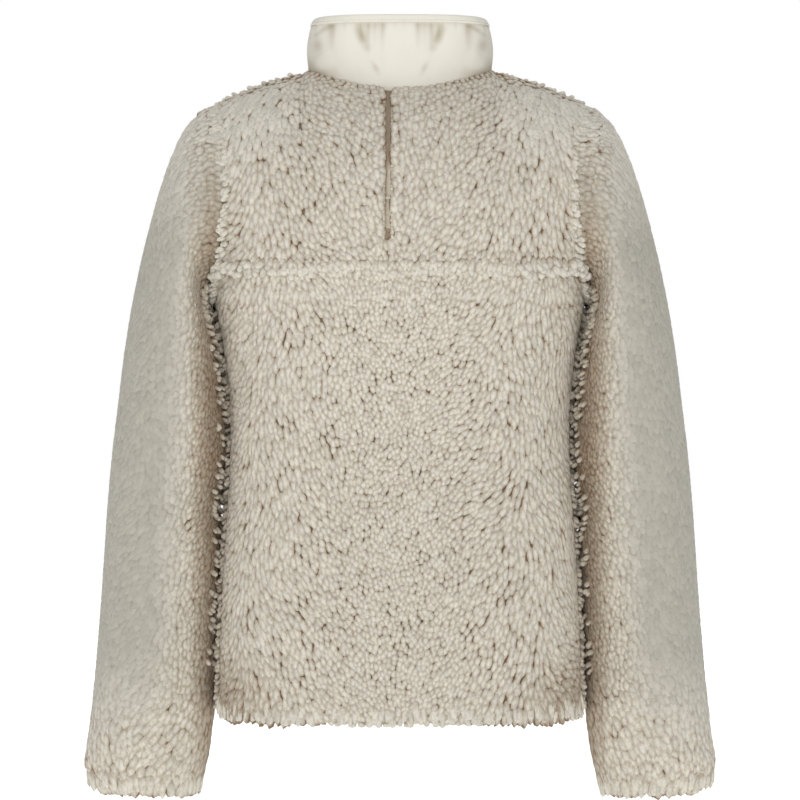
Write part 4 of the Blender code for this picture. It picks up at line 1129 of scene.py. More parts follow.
def lock_piece(name, root, along, out, long, wide, thick, material, seed, shade=0.0):
    """Locks as one piece. They grow along their way, flat against the way out, and shade lowers their
    tip number: painted shade.
    """
    along = unit(along)
    across = unit(np.cross(along, out))
    out = np.cross(across, along)
    points, faces, level = locks(root, along, across, out, long, wide, thick)
    mesh = mesh_from(name, points, faces)
    give_number(mesh, "tip", level - shade)
    tone = np.random.default_rng(seed).random(len(root))
    give_number(mesh, "tone", np.repeat(tone, len(level) // len(root)))
    print(name, "locks:", len(root), "triangles:", len(faces))
    return add_piece(name, mesh, material)


def gather(parts):
    """Parts that are made of the same arrays, joined array by array."""
    return [np.concatenate(arrays) for arrays in zip(*parts)]


def draw(random, count, *ranges):
    """Random numbers for each pair of limits."""
    return [random.uniform(low, high, count) for low, high in ranges]


def spaced(random, count, low=0.1, high=0.9):
    """Shares from 0 to 1, evenly spaced but for a random place within each step."""
    return (np.arange(count) + random.uniform(low, high, count)) / count


# %% Hem, cuff and yoke locks
# Each SIZES row gives the limits of a lock's length, width and thickness.
HEM_STEP = 4.4
HEM_END = -609.0
HEM_LAYERS = ((2.6, 11.0, 22.0), (3.6, 8.0, 15.0), (5.6, 6.0, 9.0))
HEM_SIZES = ((2.2, 4.2), (1.7, 2.5))
CUFF_ROUND = 310.0
CUFF_LAYERS = ((2.6, 0.974, 17.0), (3.6, 0.982, 12.0), (5.6, 0.990, 8.0))
CUFF_SIZES = ((2.6, 4.4), (1.9, 2.7))
SEAM_STEP = 4.8
SEAM_ROWS = ((0.018, 1.0), (-0.002, 0.55))
SEAM_SIZES = ((6.0, 10.5), (2.6, 4.0), (1.8, 2.6))
ARMHOLE_ROWS = ((0.992, 74), (0.974, 60))
ARMHOLE_SIZES = ((7.0, 13.0), (2.0, 3.6), (1.6, 2.4))
SHOULDER_COUNT = 34
SHOULDER_SIZES = ((5.5, 9.5), (2.0, 3.2), (1.7, 2.4))
SIDE_COUNT = 170
SIDE_SLEEVE_ROWS = ((2.6, 13.6, 350), (0.4, 5.0, 160))
SIDE_SIZES = ((7.0, 9.6), (2.2, 3.4), (1.8, 2.6))
# Painted shade of the gap between the sleeves and the body.
SIDE_GAP_PAINTED_SHADE = 0.14
CHANNEL_HALF = 3.6
CHANNEL_TOP = -24.0
CHANNEL_STEP = 2.6
CHANNEL_SIZES = ((5.0, 7.5), (1.5, 1.9), (1.7, 2.2))


def hem_locks(name, side, u_from, u_to, seed):
    """Locks in three layers through the thickness of the hem, between two columns of one side."""
    random = np.random.default_rng(seed)
    parts = []
    for depth, shortest, longest in HEM_LAYERS:
        count = int(HALF_ROUND * (u_to - u_from) / HEM_STEP)
        u = u_from + spaced(random, count, 0.2, 0.8) * (u_to - u_from)
        points, out = body_form(side, u, np.zeros(count))
        root = points - depth * out
        long = random.uniform(shortest, longest, count)
        root[:, 2] = HEM_END + random.uniform(-5.0, 3.4, count) + long
        sway = random.uniform(-0.28, 0.28, count)[:, None] * np.cross(out, UP)
        along = -UP + sway + random.uniform(0.02, 0.24, count)[:, None] * out
        parts.append((root, along, out, long, *draw(random, count, *HEM_SIZES)))
    return lock_piece(name, *gather(parts), pile_cloth, seed + 1)


def cuff_locks(name, way, seed):
    """Locks in three layers through the thickness of a cuff."""
    random = np.random.default_rng(seed)
    parts = []
    for depth, share, length in CUFF_LAYERS:
        count = int(CUFF_ROUND / HEM_STEP)
        turn = spaced(random, count, 0.2, 0.8) * 2 * math.pi
        section = even_section(turn, share + random.uniform(-0.009, 0.005, count))
        points, out = sleeve_form(turn, section, way)
        behind, _ = sleeve_form(turn, section - 0.3, way)
        along = unit(points - behind) * 0.6 - 0.5 * UP
        sway = random.uniform(-0.25, 0.25, count)[:, None] * np.cross(out, along)
        long = length * random.uniform(0.7, 1.4, count)
        parts.append((points - depth * out, along + sway, out, long, *draw(random, count, *CUFF_SIZES)))
    return lock_piece(name, *gather(parts), pile_cloth, seed + 1)


def yoke_seam_locks(name, seed):
    """Two uneven rows of locks that lie over the yoke seam. In the middle they hang down and merge
    with the pile, and towards the sides they grow and fan outwards."""
    random = np.random.default_rng(seed)
    count = int(2 * HALF_ROUND / SEAM_STEP)
    parts = []
    for lift, drop in SEAM_ROWS:
        u = np.linspace(-0.995, 0.995, count) + random.uniform(-0.4, 0.4, count) * 2 / count
        u = np.clip(u, -0.998, 0.998)
        points, out = body_form(1, u, SEAM_V + lift + random.uniform(-0.022, 0.022, count))
        far = np.clip(np.abs(u) - 0.4, 0, 1)
        aside = 2.2 * np.sign(u) * far + random.uniform(-0.45, 0.45, count)
        along = aside[:, None] * SIDEWAYS - drop * UP + 0.10 * out
        long = random.uniform(*SEAM_SIZES[0], count) + 6 * far
        sunk = random.uniform(2.2, 3.4, count)[:, None] - 0.9 * far[:, None]
        wide = random.uniform(*SEAM_SIZES[1], count) + 1.2 * far
        parts.append((points - sunk * out, along, out, long, wide, *draw(random, count, SEAM_SIZES[2])))
    return lock_piece(name, *gather(parts), pile_cloth, seed + 1)


def edge_locks(name, seed):
    """Finer, hairy locks along the armholes and the shoulder seams. They root just inside the body's
    edge, and point outwards over the sleeve and, on the shoulder, back over the seam."""
    random = np.random.default_rng(seed)
    parts = []
    for side, way in ((1, 1), (1, -1), (-1, 1), (-1, -1)):
        for inset, count in ARMHOLE_ROWS:
            v = 1.03 + spaced(random, count) * 0.955
            points, out = body_form(side, way * (inset + random.uniform(-0.014, 0.007, count)), v)
            along = (way * 0.9 * SIDEWAYS + 0.16 * out
                     + (random.uniform(-0.5, 0.5, count) - 0.7)[:, None] * UP)
            root = points - random.uniform(2.4, 3.9, count)[:, None] * out
            parts.append((root, along, out, *draw(random, count, *ARMHOLE_SIZES)))
        count = SHOULDER_COUNT
        u = way * (NECK_SHARE + 0.02 + spaced(random, count) * 0.37)
        points, out = body_form(side, u, 1.988 + random.uniform(-0.008, 0.008, count))
        along = np.array([way * 0.8, side * 0.7, -0.1]) + random.uniform(-0.4, 0.4, (count, 3))
        root = points - random.uniform(1.9, 2.9, count)[:, None] * out
        parts.append((root, along, out, *draw(random, count, *SHOULDER_SIZES)))
    return lock_piece(name, *gather(parts), pile_cloth, seed + 1)


def side_locks(name, seed):
    """Locks that fill the narrow gap between the sleeves and the body's sides. They root on the side
    seams and on the sleeves' inner lines, and stand out into the gap as they hang. Their colour is painted
    darker: painted shade of the gap."""
    random = np.random.default_rng(seed)
    parts = []
    for way in (1, -1):
        for side in (1, -1):
            v = 0.02 + spaced(random, SIDE_COUNT) * 0.96
            points, out = body_form(side, way * random.uniform(0.93, 0.999, SIDE_COUNT), v)
            parts.append((points - 2.6 * out, out - 0.9 * UP, out))
        for first, last, count in SIDE_SLEEVE_ROWS:
            turn = random.uniform(-0.55, 0.55, count) % (2 * math.pi)
            points, out = sleeve_form(turn, first + spaced(random, count) * (last - first), way)
            parts.append((points - 2.4 * out, out - 0.7 * UP, out))
    root, along, out = gather(parts)
    along = along + random.uniform(-0.35, 0.35, (len(root), 3))
    return lock_piece(name, root, along, out, *draw(random, len(root), *SIDE_SIZES), pile_cloth, seed + 1,
                      SIDE_GAP_PAINTED_SHADE)


def channel_locks(name, seed):
    """Two even lines of small locks that hang along the yoke's vertical seam and give the channel
    its straight edges."""
    random = np.random.default_rng(seed)
    height = np.arange(CHANNEL_TOP, YOKE_GROOVE_END, -CHANNEL_STEP)
    count = len(height)
    parts = []
    for side in (-1, 1):
        points, out = seam_form(height + random.uniform(-0.8, 0.8, count))
        points[:, 0] = YOKE_SPLIT + side * CHANNEL_HALF + random.uniform(-0.25, 0.25, count)
        along = side * 0.12 * SIDEWAYS - UP + random.uniform(-0.06, 0.06, (count, 3))
        parts.append((points - 2.3 * out, along, out))
    root, along, out = gather(parts)
    return lock_piece(name, root, along, out, *draw(random, len(root), *CHANNEL_SIZES), pile_cloth, seed + 1)


back_hem = hem_locks("back_hem_locks", 1, -1.0, 1.0, 500)
front_hem = {"left": hem_locks("front_left_hem_locks", -1, 0.05, 1.0, 510),
             "right": hem_locks("front_right_hem_locks", -1, -1.0, -0.05, 520)}
cuff_hem = {"left": cuff_locks("cuff_left_locks", 1, 530), "right": cuff_locks("cuff_right_locks", -1, 540)}
yoke_locks = yoke_seam_locks("yoke_seam_locks", 550)
yoke_edge = edge_locks("yoke_edge_locks", 560)
sides = side_locks("side_locks", 570)
channel = channel_locks("yoke_channel_locks", 580)

# %% [markdown]
# ## Collar
# The stand collar is smooth woven cloth. Its foot is seated inside the neck's edge, it rises nearly
# straight, and a narrow casing round its top draws it in a little, so small puckers run down from the
# casing's seam. The puckers are the same as in the CAD part, with finer ones and the long soft
# creases of the photograph added.

# %% Sizes of the collar
COLLAR_WALL = 2.2
COLLAR_SEAT = 4.4
COLLAR_RISE = 0.13
COLLAR_BULGE = 2.4
COLLAR_TURN = 8.0
COLLAR_OPENING = 5.8
COLLAR_OPENING_DEPTH = 1.2
COLLAR_ROUNDNESS = 2.9
COLLAR_TOP_HALF_WIDTH = 81.6
COLLAR_TOP_HALF_DEPTH = 64.0
COLLAR_TOP_BACK = 49.0
COLLAR_TOP_FRONT = 13.0
CASING_HEIGHT = 6.8
CASING_WALL = 2.8
SEAM_GAP = 0.3
SEAM_DIP = 0.9
COLLAR_GAP = 0.5
GATHERS = table(("place", "reach", "drop", "depth"), [
    (-37.0, 2.6, 15, 0.9), (-30.0, 2.4, 19, 1.3), (-23.5, 2.2, 13, 1.1), (-16.5, 2.4, 17, 1.3),
    (17.0, 2.4, 16, 1.3), (23.0, 2.2, 13, 1.0), (29.5, 2.4, 19, 1.3), (36.5, 2.6, 14, 0.9),
    (66.0, 5.0, 26, 1.2), (-66.0, 5.0, 26, 1.2),
    (-150.0, 2.8, 16, 1.1), (-142.0, 2.6, 18, 1.2), (-134.0, 2.8, 14, 1.0),
    (134.0, 2.8, 14, 1.0), (142.0, 2.6, 18, 1.2), (150.0, 2.8, 16, 1.1),
])
FINE_GATHERS = table(("place", "reach", "drop", "depth"), [
    (-41.0, 1.2, 7, 0.5), (-33.5, 1.1, 9, 0.6), (-26.5, 1.1, 8, 0.5), (-20.0, 1.2, 9, 0.6),
    (-13.0, 1.2, 6, 0.4), (-5.0, 1.4, 6, 0.25), (4.0, 1.4, 6, 0.25), (13.5, 1.2, 6, 0.4),
    (20.0, 1.2, 8, 0.55), (26.0, 1.1, 9, 0.6), (33.0, 1.1, 8, 0.6), (40.0, 1.2, 8, 0.5),
    (52.0, 1.8, 10, 0.4), (-52.0, 1.8, 10, 0.4),
    (90.0, 2.0, 9, 0.5), (-90.0, 2.0, 9, 0.5), (110.0, 2.0, 9, 0.5), (-110.0, 2.0, 9, 0.5),
    (122.0, 1.4, 8, 0.5), (-122.0, 1.4, 8, 0.5),
])
CREASES = table(("from_x", "to_x", "from_z", "to_z", "reach", "depth"), both_sides([
    (60.0, 79.0, 45.0, 33.0, 2.6, 2.2),
    (82.0, 76.0, 31.0, 14.0, 5.0, 1.1),
    (43.0, 32.0, 44.0, 18.0, 4.2, 2.0),
    (20.5, 26.0, -7.0, 4.0, 2.4, 0.9),
    (58.0, 84.0, 12.0, -3.0, 6.0, -1.2),
    (46.0, 50.0, 2.0, 26.0, 10.0, -1.2),
], 0, 1))

# %% Collar rings


def collar_ring(angle, drop):
    """A level ring near the collar's top at this drop: a superellipse that opens a little downwards,
    and dips towards the throat."""
    opened = 1 - np.exp(-drop / COLLAR_TURN)
    half_width = COLLAR_TOP_HALF_WIDTH + COLLAR_OPENING * opened
    half_depth = COLLAR_TOP_HALF_DEPTH + COLLAR_OPENING_DEPTH * opened
    radius = ((np.abs(np.sin(angle)) / half_width) ** COLLAR_ROUNDNESS
              + (np.abs(np.cos(angle)) / half_depth) ** COLLAR_ROUNDNESS) ** (-1 / COLLAR_ROUNDNESS)
    x = radius * np.sin(angle)
    y = COLLAR_MIDDLE_Y + radius * np.cos(angle)
    fall = np.clip((COLLAR_MIDDLE_Y - y) / COLLAR_TOP_HALF_DEPTH, 0.0, 1.0)
    z = COLLAR_TOP_BACK - (COLLAR_TOP_BACK - COLLAR_TOP_FRONT) * fall**1.3 - drop
    return np.stack([x, y, z], axis=-1)


def collar_foot(count):
    """The collar's foot from the left end of the zip round the back to the right end: the neck's
    edge, moved in under the pile. Returns the foot, the level way out and the distance round."""
    front = neck_and_shoulder(-1, np.linspace(0.04, NECK_SHARE, 200))
    back = neck_and_shoulder(1, np.linspace(NECK_SHARE, 0.0, 200))
    half = np.concatenate([front, back[1:]])
    line = np.concatenate([half, half[::-1][1:] * np.array([-1.0, 1.0, 1.0])])
    walked = walk(line)
    places = np.linspace(0.0, walked[-1], count)
    base = read_line(places, walked, line)
    into = -tilted(unit((base - COLLAR_CENTRE) * LEVEL))
    beyond = unit(np.cross(into, unit(np.gradient(base, axis=0))))
    beyond *= np.sign(np.sum(beyond * (COLLAR_CENTRE - base) * LEVEL, axis=1))[:, None]
    foot = base + COLLAR_SEAT * into + COLLAR_GAP * beyond
    return foot, unit((foot - COLLAR_CENTRE) * LEVEL), places - walked[-1] / 2


def puckers(rows, places, drop):
    """How far the gathers draw the cloth in: a bell across each, fading down from the casing."""
    pull = np.zeros(drop.shape)
    for row in rows:
        near = np.exp(-((places - row["place"]) / row["reach"]) ** 2)
        fade = np.exp(-np.maximum(drop, 0.0) / row["drop"] * 1.6) * np.clip(drop / 2.5, 0.0, 1.0)
        pull += row["depth"] * near * fade
    return pull


def crease_depth(points):
    """Long creases on the back of the collar: a bell across the line between two places."""
    pull = np.zeros(points.shape[:-1])
    for row in CREASES:
        start = np.array([row["from_x"], row["from_z"]])
        way = np.array([row["to_x"], row["to_z"]]) - start
        off = points[..., [0, 2]] - start
        share = np.clip(np.sum(off * way, -1) / np.sum(way * way), 0.0, 1.0)
        far = np.linalg.norm(off - share[..., None] * way, axis=-1)
        ends = np.sin(math.pi * np.clip(share, 0.12, 0.88))
        pull += row["depth"] * np.exp(-(far / row["reach"]) ** 2) * ends
    return pull * (points[..., 1] > 0)


# %% Woven cloth
# Painted shade in the collar's creases and where its sides sink into the pile.
COLLAR_SHADE = (0.56, 0.515, 0.43)


def woven_material():
    """Plain woven cloth: two waves of threads on the UV map, crossed, as bump and a faint tone, and a
    warmer, darker painted shade where the number `deep` says that the cloth lies in a crease or sinks
    into the pile."""
    material, tree, shader = new_material("woven_cloth")
    uv = add_node(tree, "UVMap", {}, uv_map="cloth").outputs["UV"]
    threads = []
    for direction_name in ("X", "Y"):
        wave = add_wave(tree, uv, 330.0, 0.6, bands_direction=direction_name)
        give(tree, wave, {"Detail": 1.0})
        threads.append(wave.outputs["Fac"])
    weave = add_math(tree, "MULTIPLY", *threads)
    cloud = add_noise(tree, add_place(tree), 24.0, 3.0)
    cloudy = add_ramp(tree, cloud, (0.3, (0.955, 0.955, 0.95)), (0.7, WHITE))
    woven = add_ramp(tree, weave, (0.0, (0.83, 0.80, 0.705)), (1.0, (0.885, 0.86, 0.77)))
    tone = add_product(tree, 1.0, woven, cloudy)
    give(tree, shader, {
        "Base Color": add_product(tree, add_number(tree, "deep"), tone, COLLAR_SHADE),
        "Normal": add_bump(tree, weave, 0.25, 0.0002),
        "Roughness": 0.72,
        "Specular IOR Level": 0.25,
        "Sheen Weight": 0.12,
        "Sheen Roughness": 0.4,
    })
    return material


woven_cloth = woven_material()

# %% Collar cloth
COLLAR_COLUMNS = 380
COLLAR_ROWS = 40
PUCKER = 1.5
FINE_PUCKER = 1.7
POCKET_X = 82.0
POCKET_REACH = 17.0
POCKET_RISE = 0.26
foot, collar_away, collar_places = collar_foot(COLLAR_COLUMNS)
collar_angle = np.arctan2(foot[:, 0], foot[:, 1] - COLLAR_MIDDLE_Y)


def collar_points():
    """The collar's outer face: from the foot to the lid in height and lean, with a slight bulge, and
    drawn in by the puckers and creases. Also the painted shade, 0 to 1: how deep each point lies in
    them, with a painted pocket of shade where the collar's sides sink into the pile."""
    lid = collar_ring(collar_angle, np.full(COLLAR_COLUMNS, CASING_HEIGHT + SEAM_GAP))
    share = np.linspace(0.0, 1.0, COLLAR_ROWS)[:, None]
    lean = np.maximum((share - COLLAR_RISE) / (1 - COLLAR_RISE), 0.0)
    rise = np.stack([lean, lean, share], axis=-1)
    points = foot[None] + (lid - foot)[None] * rise
    points = points + (COLLAR_BULGE * np.sin(math.pi * lean))[..., None] * collar_away[None]
    drop = lid[None, :, 2] - points[..., 2]
    pull = (PUCKER * puckers(GATHERS, collar_places[None], drop)
            + FINE_PUCKER * puckers(FINE_GATHERS, collar_places[None], drop))
    pull += SEAM_DIP * np.exp(-np.maximum(drop, 0.0) / 1.6)
    pull += crease_depth(points) * np.sin(math.pi * share) ** 0.5
    # Painted shade: a darker pocket where the collar's sides sink into the pile.
    corners = np.exp(-((np.abs(points[..., 0]) - POCKET_X) / POCKET_REACH) ** 2 - (share / POCKET_RISE) ** 2)
    points = points - pull[..., None] * collar_away[None]
    points[:, 0, 0] = ZIP_CHANNEL
    points[:, -1, 0] = -ZIP_CHANNEL
    return points, np.clip(pull / 2.0 + corners, 0.0, 1.0)


collar_grid, collar_painted_shade = collar_points()
collar_out = np.broadcast_to(collar_away[None], collar_grid.shape)
collar_cloth = cloth_shell("collar_cloth", collar_grid, collar_out, False, False, 0.0, COLLAR_WALL,
                           (woven_cloth, woven_cloth))
collar_uv = [np.concatenate([walk(collar_grid, axis).ravel() * MILLIMETRE] * 2) for axis in (1, 0)]
give_uv(collar_cloth.data, *collar_uv)
# Painted shade: the number `deep` darkens the outer face in its creases and low corners; the inner face gets
# none.
give_number(collar_cloth.data, "deep", np.concatenate([collar_painted_shade.ravel(), 0 * collar_painted_shade.ravel()]))

# %% Casing
CASING_POINTS = 20
CASING_OUT = 0.55
PLEAT_PITCH = 5.4
PLEAT_WANDER = 37.0
PLEAT_SWELL = 0.22


def casing_points():
    """The casing: a rounded rectangle carried round the collar's top, swelling between the pleats
    that its seam draws together."""
    turn = np.arange(CASING_POINTS) / CASING_POINTS * 2 * math.pi
    tall = np.sign(np.sin(turn)) * np.abs(np.sin(turn)) ** 0.55
    deep = np.sign(np.cos(turn)) * np.abs(np.cos(turn)) ** 0.7
    half = CASING_HEIGHT / 2
    drop = half - half * tall
    around = collar_places * 2 * math.pi
    pleats = 0.5 + 0.5 * np.sin(around / PLEAT_PITCH + 1.2 * np.sin(around / PLEAT_WANDER))
    ring = collar_ring(collar_angle[None], drop[:, None])
    outer = deep[:, None]
    swell = PLEAT_SWELL * pleats[None] * (outer > 0) * np.cos(turn)[:, None]
    ring = ring + (CASING_OUT + CASING_WALL / 2 * (outer - 1) + swell)[..., None] * collar_away[None]
    ring[:, 0, 0] = ZIP_CHANNEL
    ring[:, -1, 0] = -ZIP_CHANNEL
    return ring


casing_grid = casing_points()
casing_mesh = profile_mesh("collar_casing_cloth", casing_grid)
casing_across = np.broadcast_to(collar_places[None] * MILLIMETRE, casing_grid.shape[:2])
casing_up = np.broadcast_to(np.linspace(0, 0.019, CASING_POINTS)[:, None], casing_grid.shape[:2])
give_uv(casing_mesh, np.append(casing_across.ravel(), [0, 0]), np.append(casing_up.ravel(), [0, 0]))
casing_cloth = add_piece("collar_casing_cloth", casing_mesh, woven_cloth)

# %% [markdown]
# ## Sewing on the collar
# A line of small stitches holds the casing down. Each stitch is a short spindle of thread that lies
# on the cloth just above the seam.

# %% Stitches
STITCH_PITCH = 2.9
STITCH_LONG = 2.0
THREAD_HALF = 0.26


def thread_material():
    """Polished thread: cream, with a faint twist as bump."""
    material, tree, shader = new_material("sewing_thread")
    twist = add_noise(tree, add_place(tree), 2600.0, 1.0)
    give(tree, shader, {
        "Base Color": add_ramp(tree, twist, (0.3, (0.60, 0.57, 0.48)), (0.7, (0.70, 0.67, 0.58))),
        "Normal": add_bump(tree, twist, 0.3, 0.0001),
        "Roughness": 0.55,
    })
    return material


thread = thread_material()
stitch_at = np.arange(-collar_places[-1] + 3, collar_places[-1] - 3, STITCH_PITCH)
stitches = len(stitch_at)
stitch_angle = np.interp(stitch_at, collar_places, np.unwrap(collar_angle))
stitch_away = read_line(stitch_at, collar_places, collar_away)
stitch_root = collar_ring(stitch_angle, np.full(stitches, CASING_HEIGHT - 1.3)) + 0.62 * stitch_away
stitch_half = np.full(stitches, THREAD_HALF)
stitch_way = unit(np.gradient(stitch_root, axis=0))
casing_stitches = lock_piece("casing_stitches", stitch_root, stitch_way, stitch_away,
                             np.full(stitches, STITCH_LONG), stitch_half, stitch_half, thread, 600)

# %% [markdown]
# ## The yoke's vertical seam
# At the bottom of the channel in the yoke lies a flat strip of the cloth without its pile, finely
# ribbed along its length. A small bar tack crosses it.

# %% Ribbed strip
STRIP_HALF = 1.95
STRIP_DEPTH = 3.4
STRIP_RIBS = 4.0
STRIP_END = -161.0
TACK_HEIGHT = -126.0
TACK_LONG = 5.2


def strip_material():
    """Ribbed knit: pale cream, with fine cross threads as bump, and painted darker in the deep upper slot:
    painted shade.
    """
    material, tree, shader = new_material("ribbed_strip")
    place = add_place(tree)
    threads = add_wave(tree, place, 280.0, 2.0, bands_direction="Z").outputs["Fac"]
    height = add_node(tree, "SeparateXYZ", {"Vector": place}).outputs["Z"]
    pale = STRIP_PALE * MILLIMETRE
    # Painted shade: darker above this height, deep in the channel.
    slot = add_node(tree, "MapRange", {"Value": height, "From Min": pale - 0.006, "From Max": pale + 0.006})
    knit = add_ramp(tree, threads, (0.0, (0.72, 0.67, 0.56)), (1.0, (0.88, 0.84, 0.74)))
    give(tree, shader, {
        "Base Color": add_product(tree, slot.outputs["Result"], knit, (0.42, 0.37, 0.32)),
        "Normal": add_bump(tree, threads, 0.5, 0.0002),
        "Roughness": 0.9,
    })
    return material


def strip_points():
    """The strip as a closed profile: its front face waves across with the ribs, its back is flat."""
    v = np.linspace(SEAM_V + 0.12, 1.985, 120)
    line, out = body_form(1, np.full(v.shape, SPLIT_U), v)
    keep = line[:, 2] > STRIP_END
    line, out = line[keep], out[keep]
    across = np.linspace(-STRIP_HALF, STRIP_HALF, 33)
    ribs = 0.22 * np.cos(across / STRIP_HALF * math.pi * STRIP_RIBS)
    depth = np.concatenate([STRIP_DEPTH - ribs - 0.2, [STRIP_DEPTH + 1.2, STRIP_DEPTH + 1.2]])
    x = np.concatenate([across, [STRIP_HALF, -STRIP_HALF]])
    points = line[None] - depth[:, None, None] * out[None]
    points[..., 0] = YOKE_SPLIT + x[:, None]
    return points


strip_mesh = profile_mesh("yoke_ribbed_strip", strip_points())
ribbed_strip = add_piece("yoke_ribbed_strip", strip_mesh, strip_material())
tack_at, tack_out = seam_form(TACK_HEIGHT + np.array([-0.8, 0.0, 0.8]))
tack_root = tack_at - 2.3 * tack_out
tack_root[:, 0] = YOKE_SPLIT - TACK_LONG / 2
tack = lock_piece("yoke_bar_tack", tack_root, np.tile(SIDEWAYS, (3, 1)), tack_out, np.full(3, TACK_LONG),
                  np.full(3, 0.5), np.full(3, 0.5), thread, 610)
print("tack at", tack_at[1].round(1))

# %% [markdown]
# ## Zip
# The zip is a closed chain of moulded teeth on two woven tapes. The tapes' path is worked out from
# the fronts' inner face, as in the CAD part. The teeth are small six-sided blocks in two rows, set
# half a step apart so that they mesh.

# %% Path of the zip
ZIP_TEETH_HALF = 2.7
ZIP_TEETH_RISE = 1.6
ZIP_TAPE_REACH = 12.0
ZIP_TAPE_THICK = 1.2
ZIP_COLLAR_FACE = -72.2
ZIP_TOP = 5.4
BOX_HEIGHT = 12.0
SLIDER_POST = -4.1


def zip_line(x, count):
    """Points up the fronts' inner face at this x and on behind the collar, evenly spaced."""
    rows = np.concatenate([np.linspace(0.02, 1.0, 60), np.linspace(1.02, 2.0, 60)])
    u = np.full(rows.shape, x / (math.pi / 2 * BODY["front"][-1]))
    inside = torso(-1, u, rows) - (PILE_WALL + 1.5 * SEAM_GAP) * surface_normal(-1, u, rows, 0.002, 0.002)
    inside[:, 0] = x
    inside = inside[inside[:, 2] < NECK[-1][1] - 7.0]
    rise = np.linspace(NECK[-1][1] - 1.0, ZIP_TOP, 12)
    collar = np.stack([np.full(rise.shape, x), np.full(rise.shape, ZIP_COLLAR_FACE), rise], axis=-1)
    line = np.concatenate([inside, collar])
    walked = walk(line)
    return read_line(np.linspace(0.0, walked[-1], count), walked, line)


# %% Tapes
TAPE_POINTS = 160


def tape_material():
    """Twill tape: slanting waves of thread on the UV map."""
    material, tree, shader = new_material("zip_tape_weave")
    uv = add_node(tree, "UVMap", {}, uv_map="cloth").outputs["UV"]
    slanted = add_node(tree, "Mapping", {"Vector": uv, "Rotation": (0.0, 0.0, math.radians(38.0))})
    threads = add_wave(tree, slanted.outputs["Vector"], 260.0, 0.8).outputs["Fac"]
    give(tree, shader, {
        "Base Color": add_ramp(tree, threads, (0.0, (0.60, 0.565, 0.47)), (1.0, (0.73, 0.70, 0.60))),
        "Normal": add_bump(tree, threads, 0.5, 0.0002),
        "Roughness": 0.85,
    })
    return material


tape_weave = tape_material()
for half, way in (("left", 1), ("right", -1)):
    near = zip_line(ZIP_TEETH_HALF + SEAM_GAP, TAPE_POINTS)
    far = zip_line(ZIP_TAPE_REACH, TAPE_POINTS)
    share = np.linspace(0.0, 1.0, 13)
    bead = 0.35 * np.exp(-((share - 0.06) / 0.06) ** 2)
    face = near[None] * (1 - share)[:, None, None] + far[None] * share[:, None, None]
    front = face - np.array([0.0, 1.0, 0.0]) * bead[:, None, None]
    behind = face[::-1] + np.array([0.0, ZIP_TAPE_THICK, 0.0])
    grid = np.concatenate([front, behind]) * np.array([way, 1.0, 1.0])
    tape_mesh = profile_mesh("zip_tape_" + half + "_weave", grid)
    wide_uv = np.broadcast_to(grid[..., 0] * MILLIMETRE, grid.shape[:2])
    long_uv = np.broadcast_to(np.linspace(0, 0.6, TAPE_POINTS)[None], grid.shape[:2])
    give_uv(tape_mesh, np.append(wide_uv.ravel(), [0, 0]), np.append(long_uv.ravel(), [0, 0]))
    add_piece("zip_tape_" + half + "_weave", tape_mesh, tape_weave)
    np.linalg.norm(far - near, axis=1).mean() * walk(near)[-1] * MILLIMETRE**2

# %% Teeth
TOOTH_PITCH = 2.3
TOOTH_REACH = 3.9
TOOTH_SHAPE = ((-0.72, 0.0), (-0.72, 0.45), (-0.42, 1.0), (0.42, 1.0), (0.72, 0.45), (0.72, 0.0))


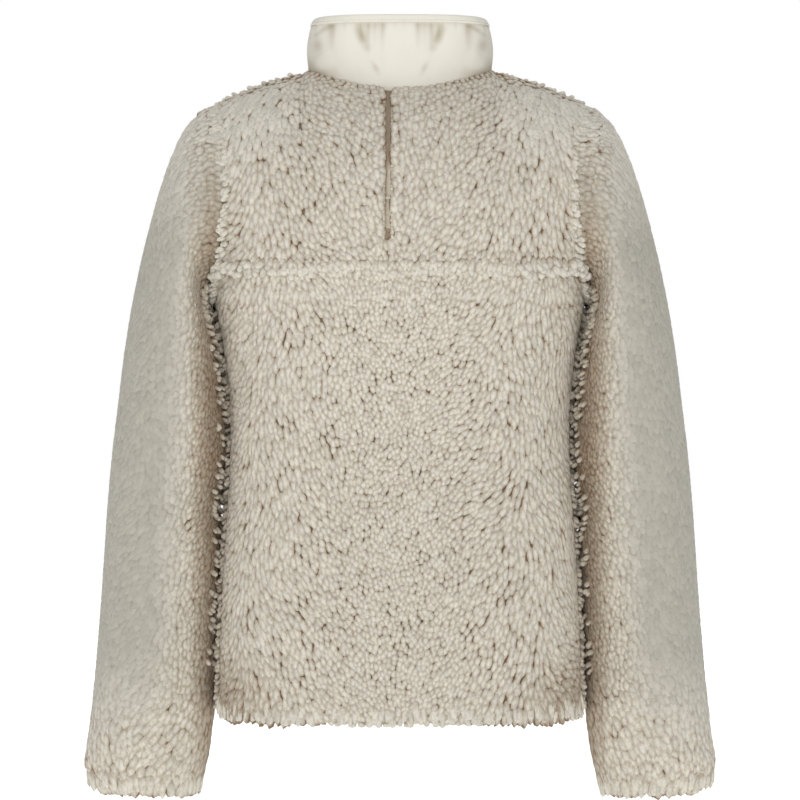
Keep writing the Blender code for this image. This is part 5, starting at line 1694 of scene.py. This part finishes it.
def teeth_mesh():
    """Two rows of blocks: a six-cornered outline in height and reach, extruded through the tape."""
    line = zip_line(0.0, 4000)
    level = line[:, 2]
    low = level[0] + BOX_HEIGHT + 1.2
    parts = []
    for way, start in ((1, 0.0), (-1, TOOTH_PITCH / 2)):
        heights = np.arange(low + start, SLIDER_POST - 5.2, TOOTH_PITCH)
        place = np.stack([np.zeros(len(heights)), np.interp(heights, level, line[:, 1]), heights], -1)
        outline = np.array(TOOTH_SHAPE)
        side = -way * (outline[:, 1] * TOOTH_REACH - 3.1)
        rise = outline[:, 0]
        ring = np.stack([side, 0 * side, rise], -1)
        front = place[:, None] + ring[None] + np.array([0.0, -ZIP_TEETH_RISE, 0.0])
        middle = place[:, None] + ring[None] * np.array([1.0, 1.0, 1.12]) + np.array([0.0, -0.4, 0.0])
        back = place[:, None] + ring[None] + np.array([0.0, ZIP_TAPE_THICK, 0.0])
        parts.append(np.concatenate([front, middle, back], axis=1))
    points = np.concatenate(parts)
    corners = len(TOOTH_SHAPE)
    faces = band_faces(corners, 0, corners) + band_faces(corners, corners, 2 * corners)
    fan = np.stack([np.zeros(corners - 2, int), np.arange(1, corners - 1), np.arange(2, corners)], -1)
    faces = np.concatenate(faces + [fan[:, ::-1], fan + 2 * corners])
    one = points[0]
    if signed_volume(one - one.mean(0), faces) < 0:
        faces = faces[:, ::-1]
    count = len(parts[0])
    each = points.shape[1]
    mirrored = faces_of_each([faces[:, ::-1]], len(points) - count, each) + count * each
    all_faces = np.concatenate([faces_of_each([faces], count, each), mirrored])
    mesh = mesh_from("zip_teeth_chain", points.reshape(-1, 3), all_faces)
    mesh.set_sharp_from_angle(angle=math.radians(35.0))
    print("teeth:", len(points), "triangles:", len(all_faces))
    return mesh


def ivory_material():
    """Moulded ivory plastic: faintly clouded, half gloss."""
    material, tree, shader = new_material("zip_ivory")
    place = add_place(tree)
    cloud = add_noise(tree, place, 180.0)
    give(tree, shader, {
        "Base Color": add_ramp(tree, cloud, (0.3, (0.72, 0.69, 0.59)), (0.7, (0.79, 0.76, 0.67))),
        "Normal": add_bump(tree, add_noise(tree, place, 3000.0), 0.08, 0.0001),
        "Roughness": 0.42,
    })
    return material


def metal_material():
    """Satin metal: brushed along its length, slightly uneven in gloss."""
    material, tree, shader = new_material("zip_metal")
    stretched = add_node(tree, "Mapping", {"Vector": add_place(tree), "Scale": (1.0, 1.0, 0.08)})
    brushed = add_noise(tree, stretched.outputs["Vector"], 4200.0)
    give(tree, shader, {
        "Base Color": add_ramp(tree, brushed, (0.3, (0.56, 0.55, 0.52)), (0.7, (0.68, 0.67, 0.64))),
        "Normal": add_bump(tree, brushed, 0.15, 0.00005),
        "Roughness": add_range(tree, brushed, 0.28, 0.42),
        "Metallic": 1.0,
    })
    return material


ivory = ivory_material()
metal = metal_material()
zip_chain = add_piece("zip_teeth_chain", teeth_mesh(), ivory)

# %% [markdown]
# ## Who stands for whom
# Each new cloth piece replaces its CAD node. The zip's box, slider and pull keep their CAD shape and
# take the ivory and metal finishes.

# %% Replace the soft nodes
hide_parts("back")
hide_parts("collar")
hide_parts("collar_casing")
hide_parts("yoke_seam_tape")
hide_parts("zip_teeth")
for half in ("left", "right"):
    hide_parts("yoke_" + half)
    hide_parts("front_" + half)
    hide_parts("sleeve_" + half)
    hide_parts("zip_tape_" + half)
for node_name, finish in (("zip_box", ivory), ("zip_slider", metal), ("zip_pull", metal)):
    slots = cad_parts[node_name].data.materials
    slots.clear()
    slots.append(finish)
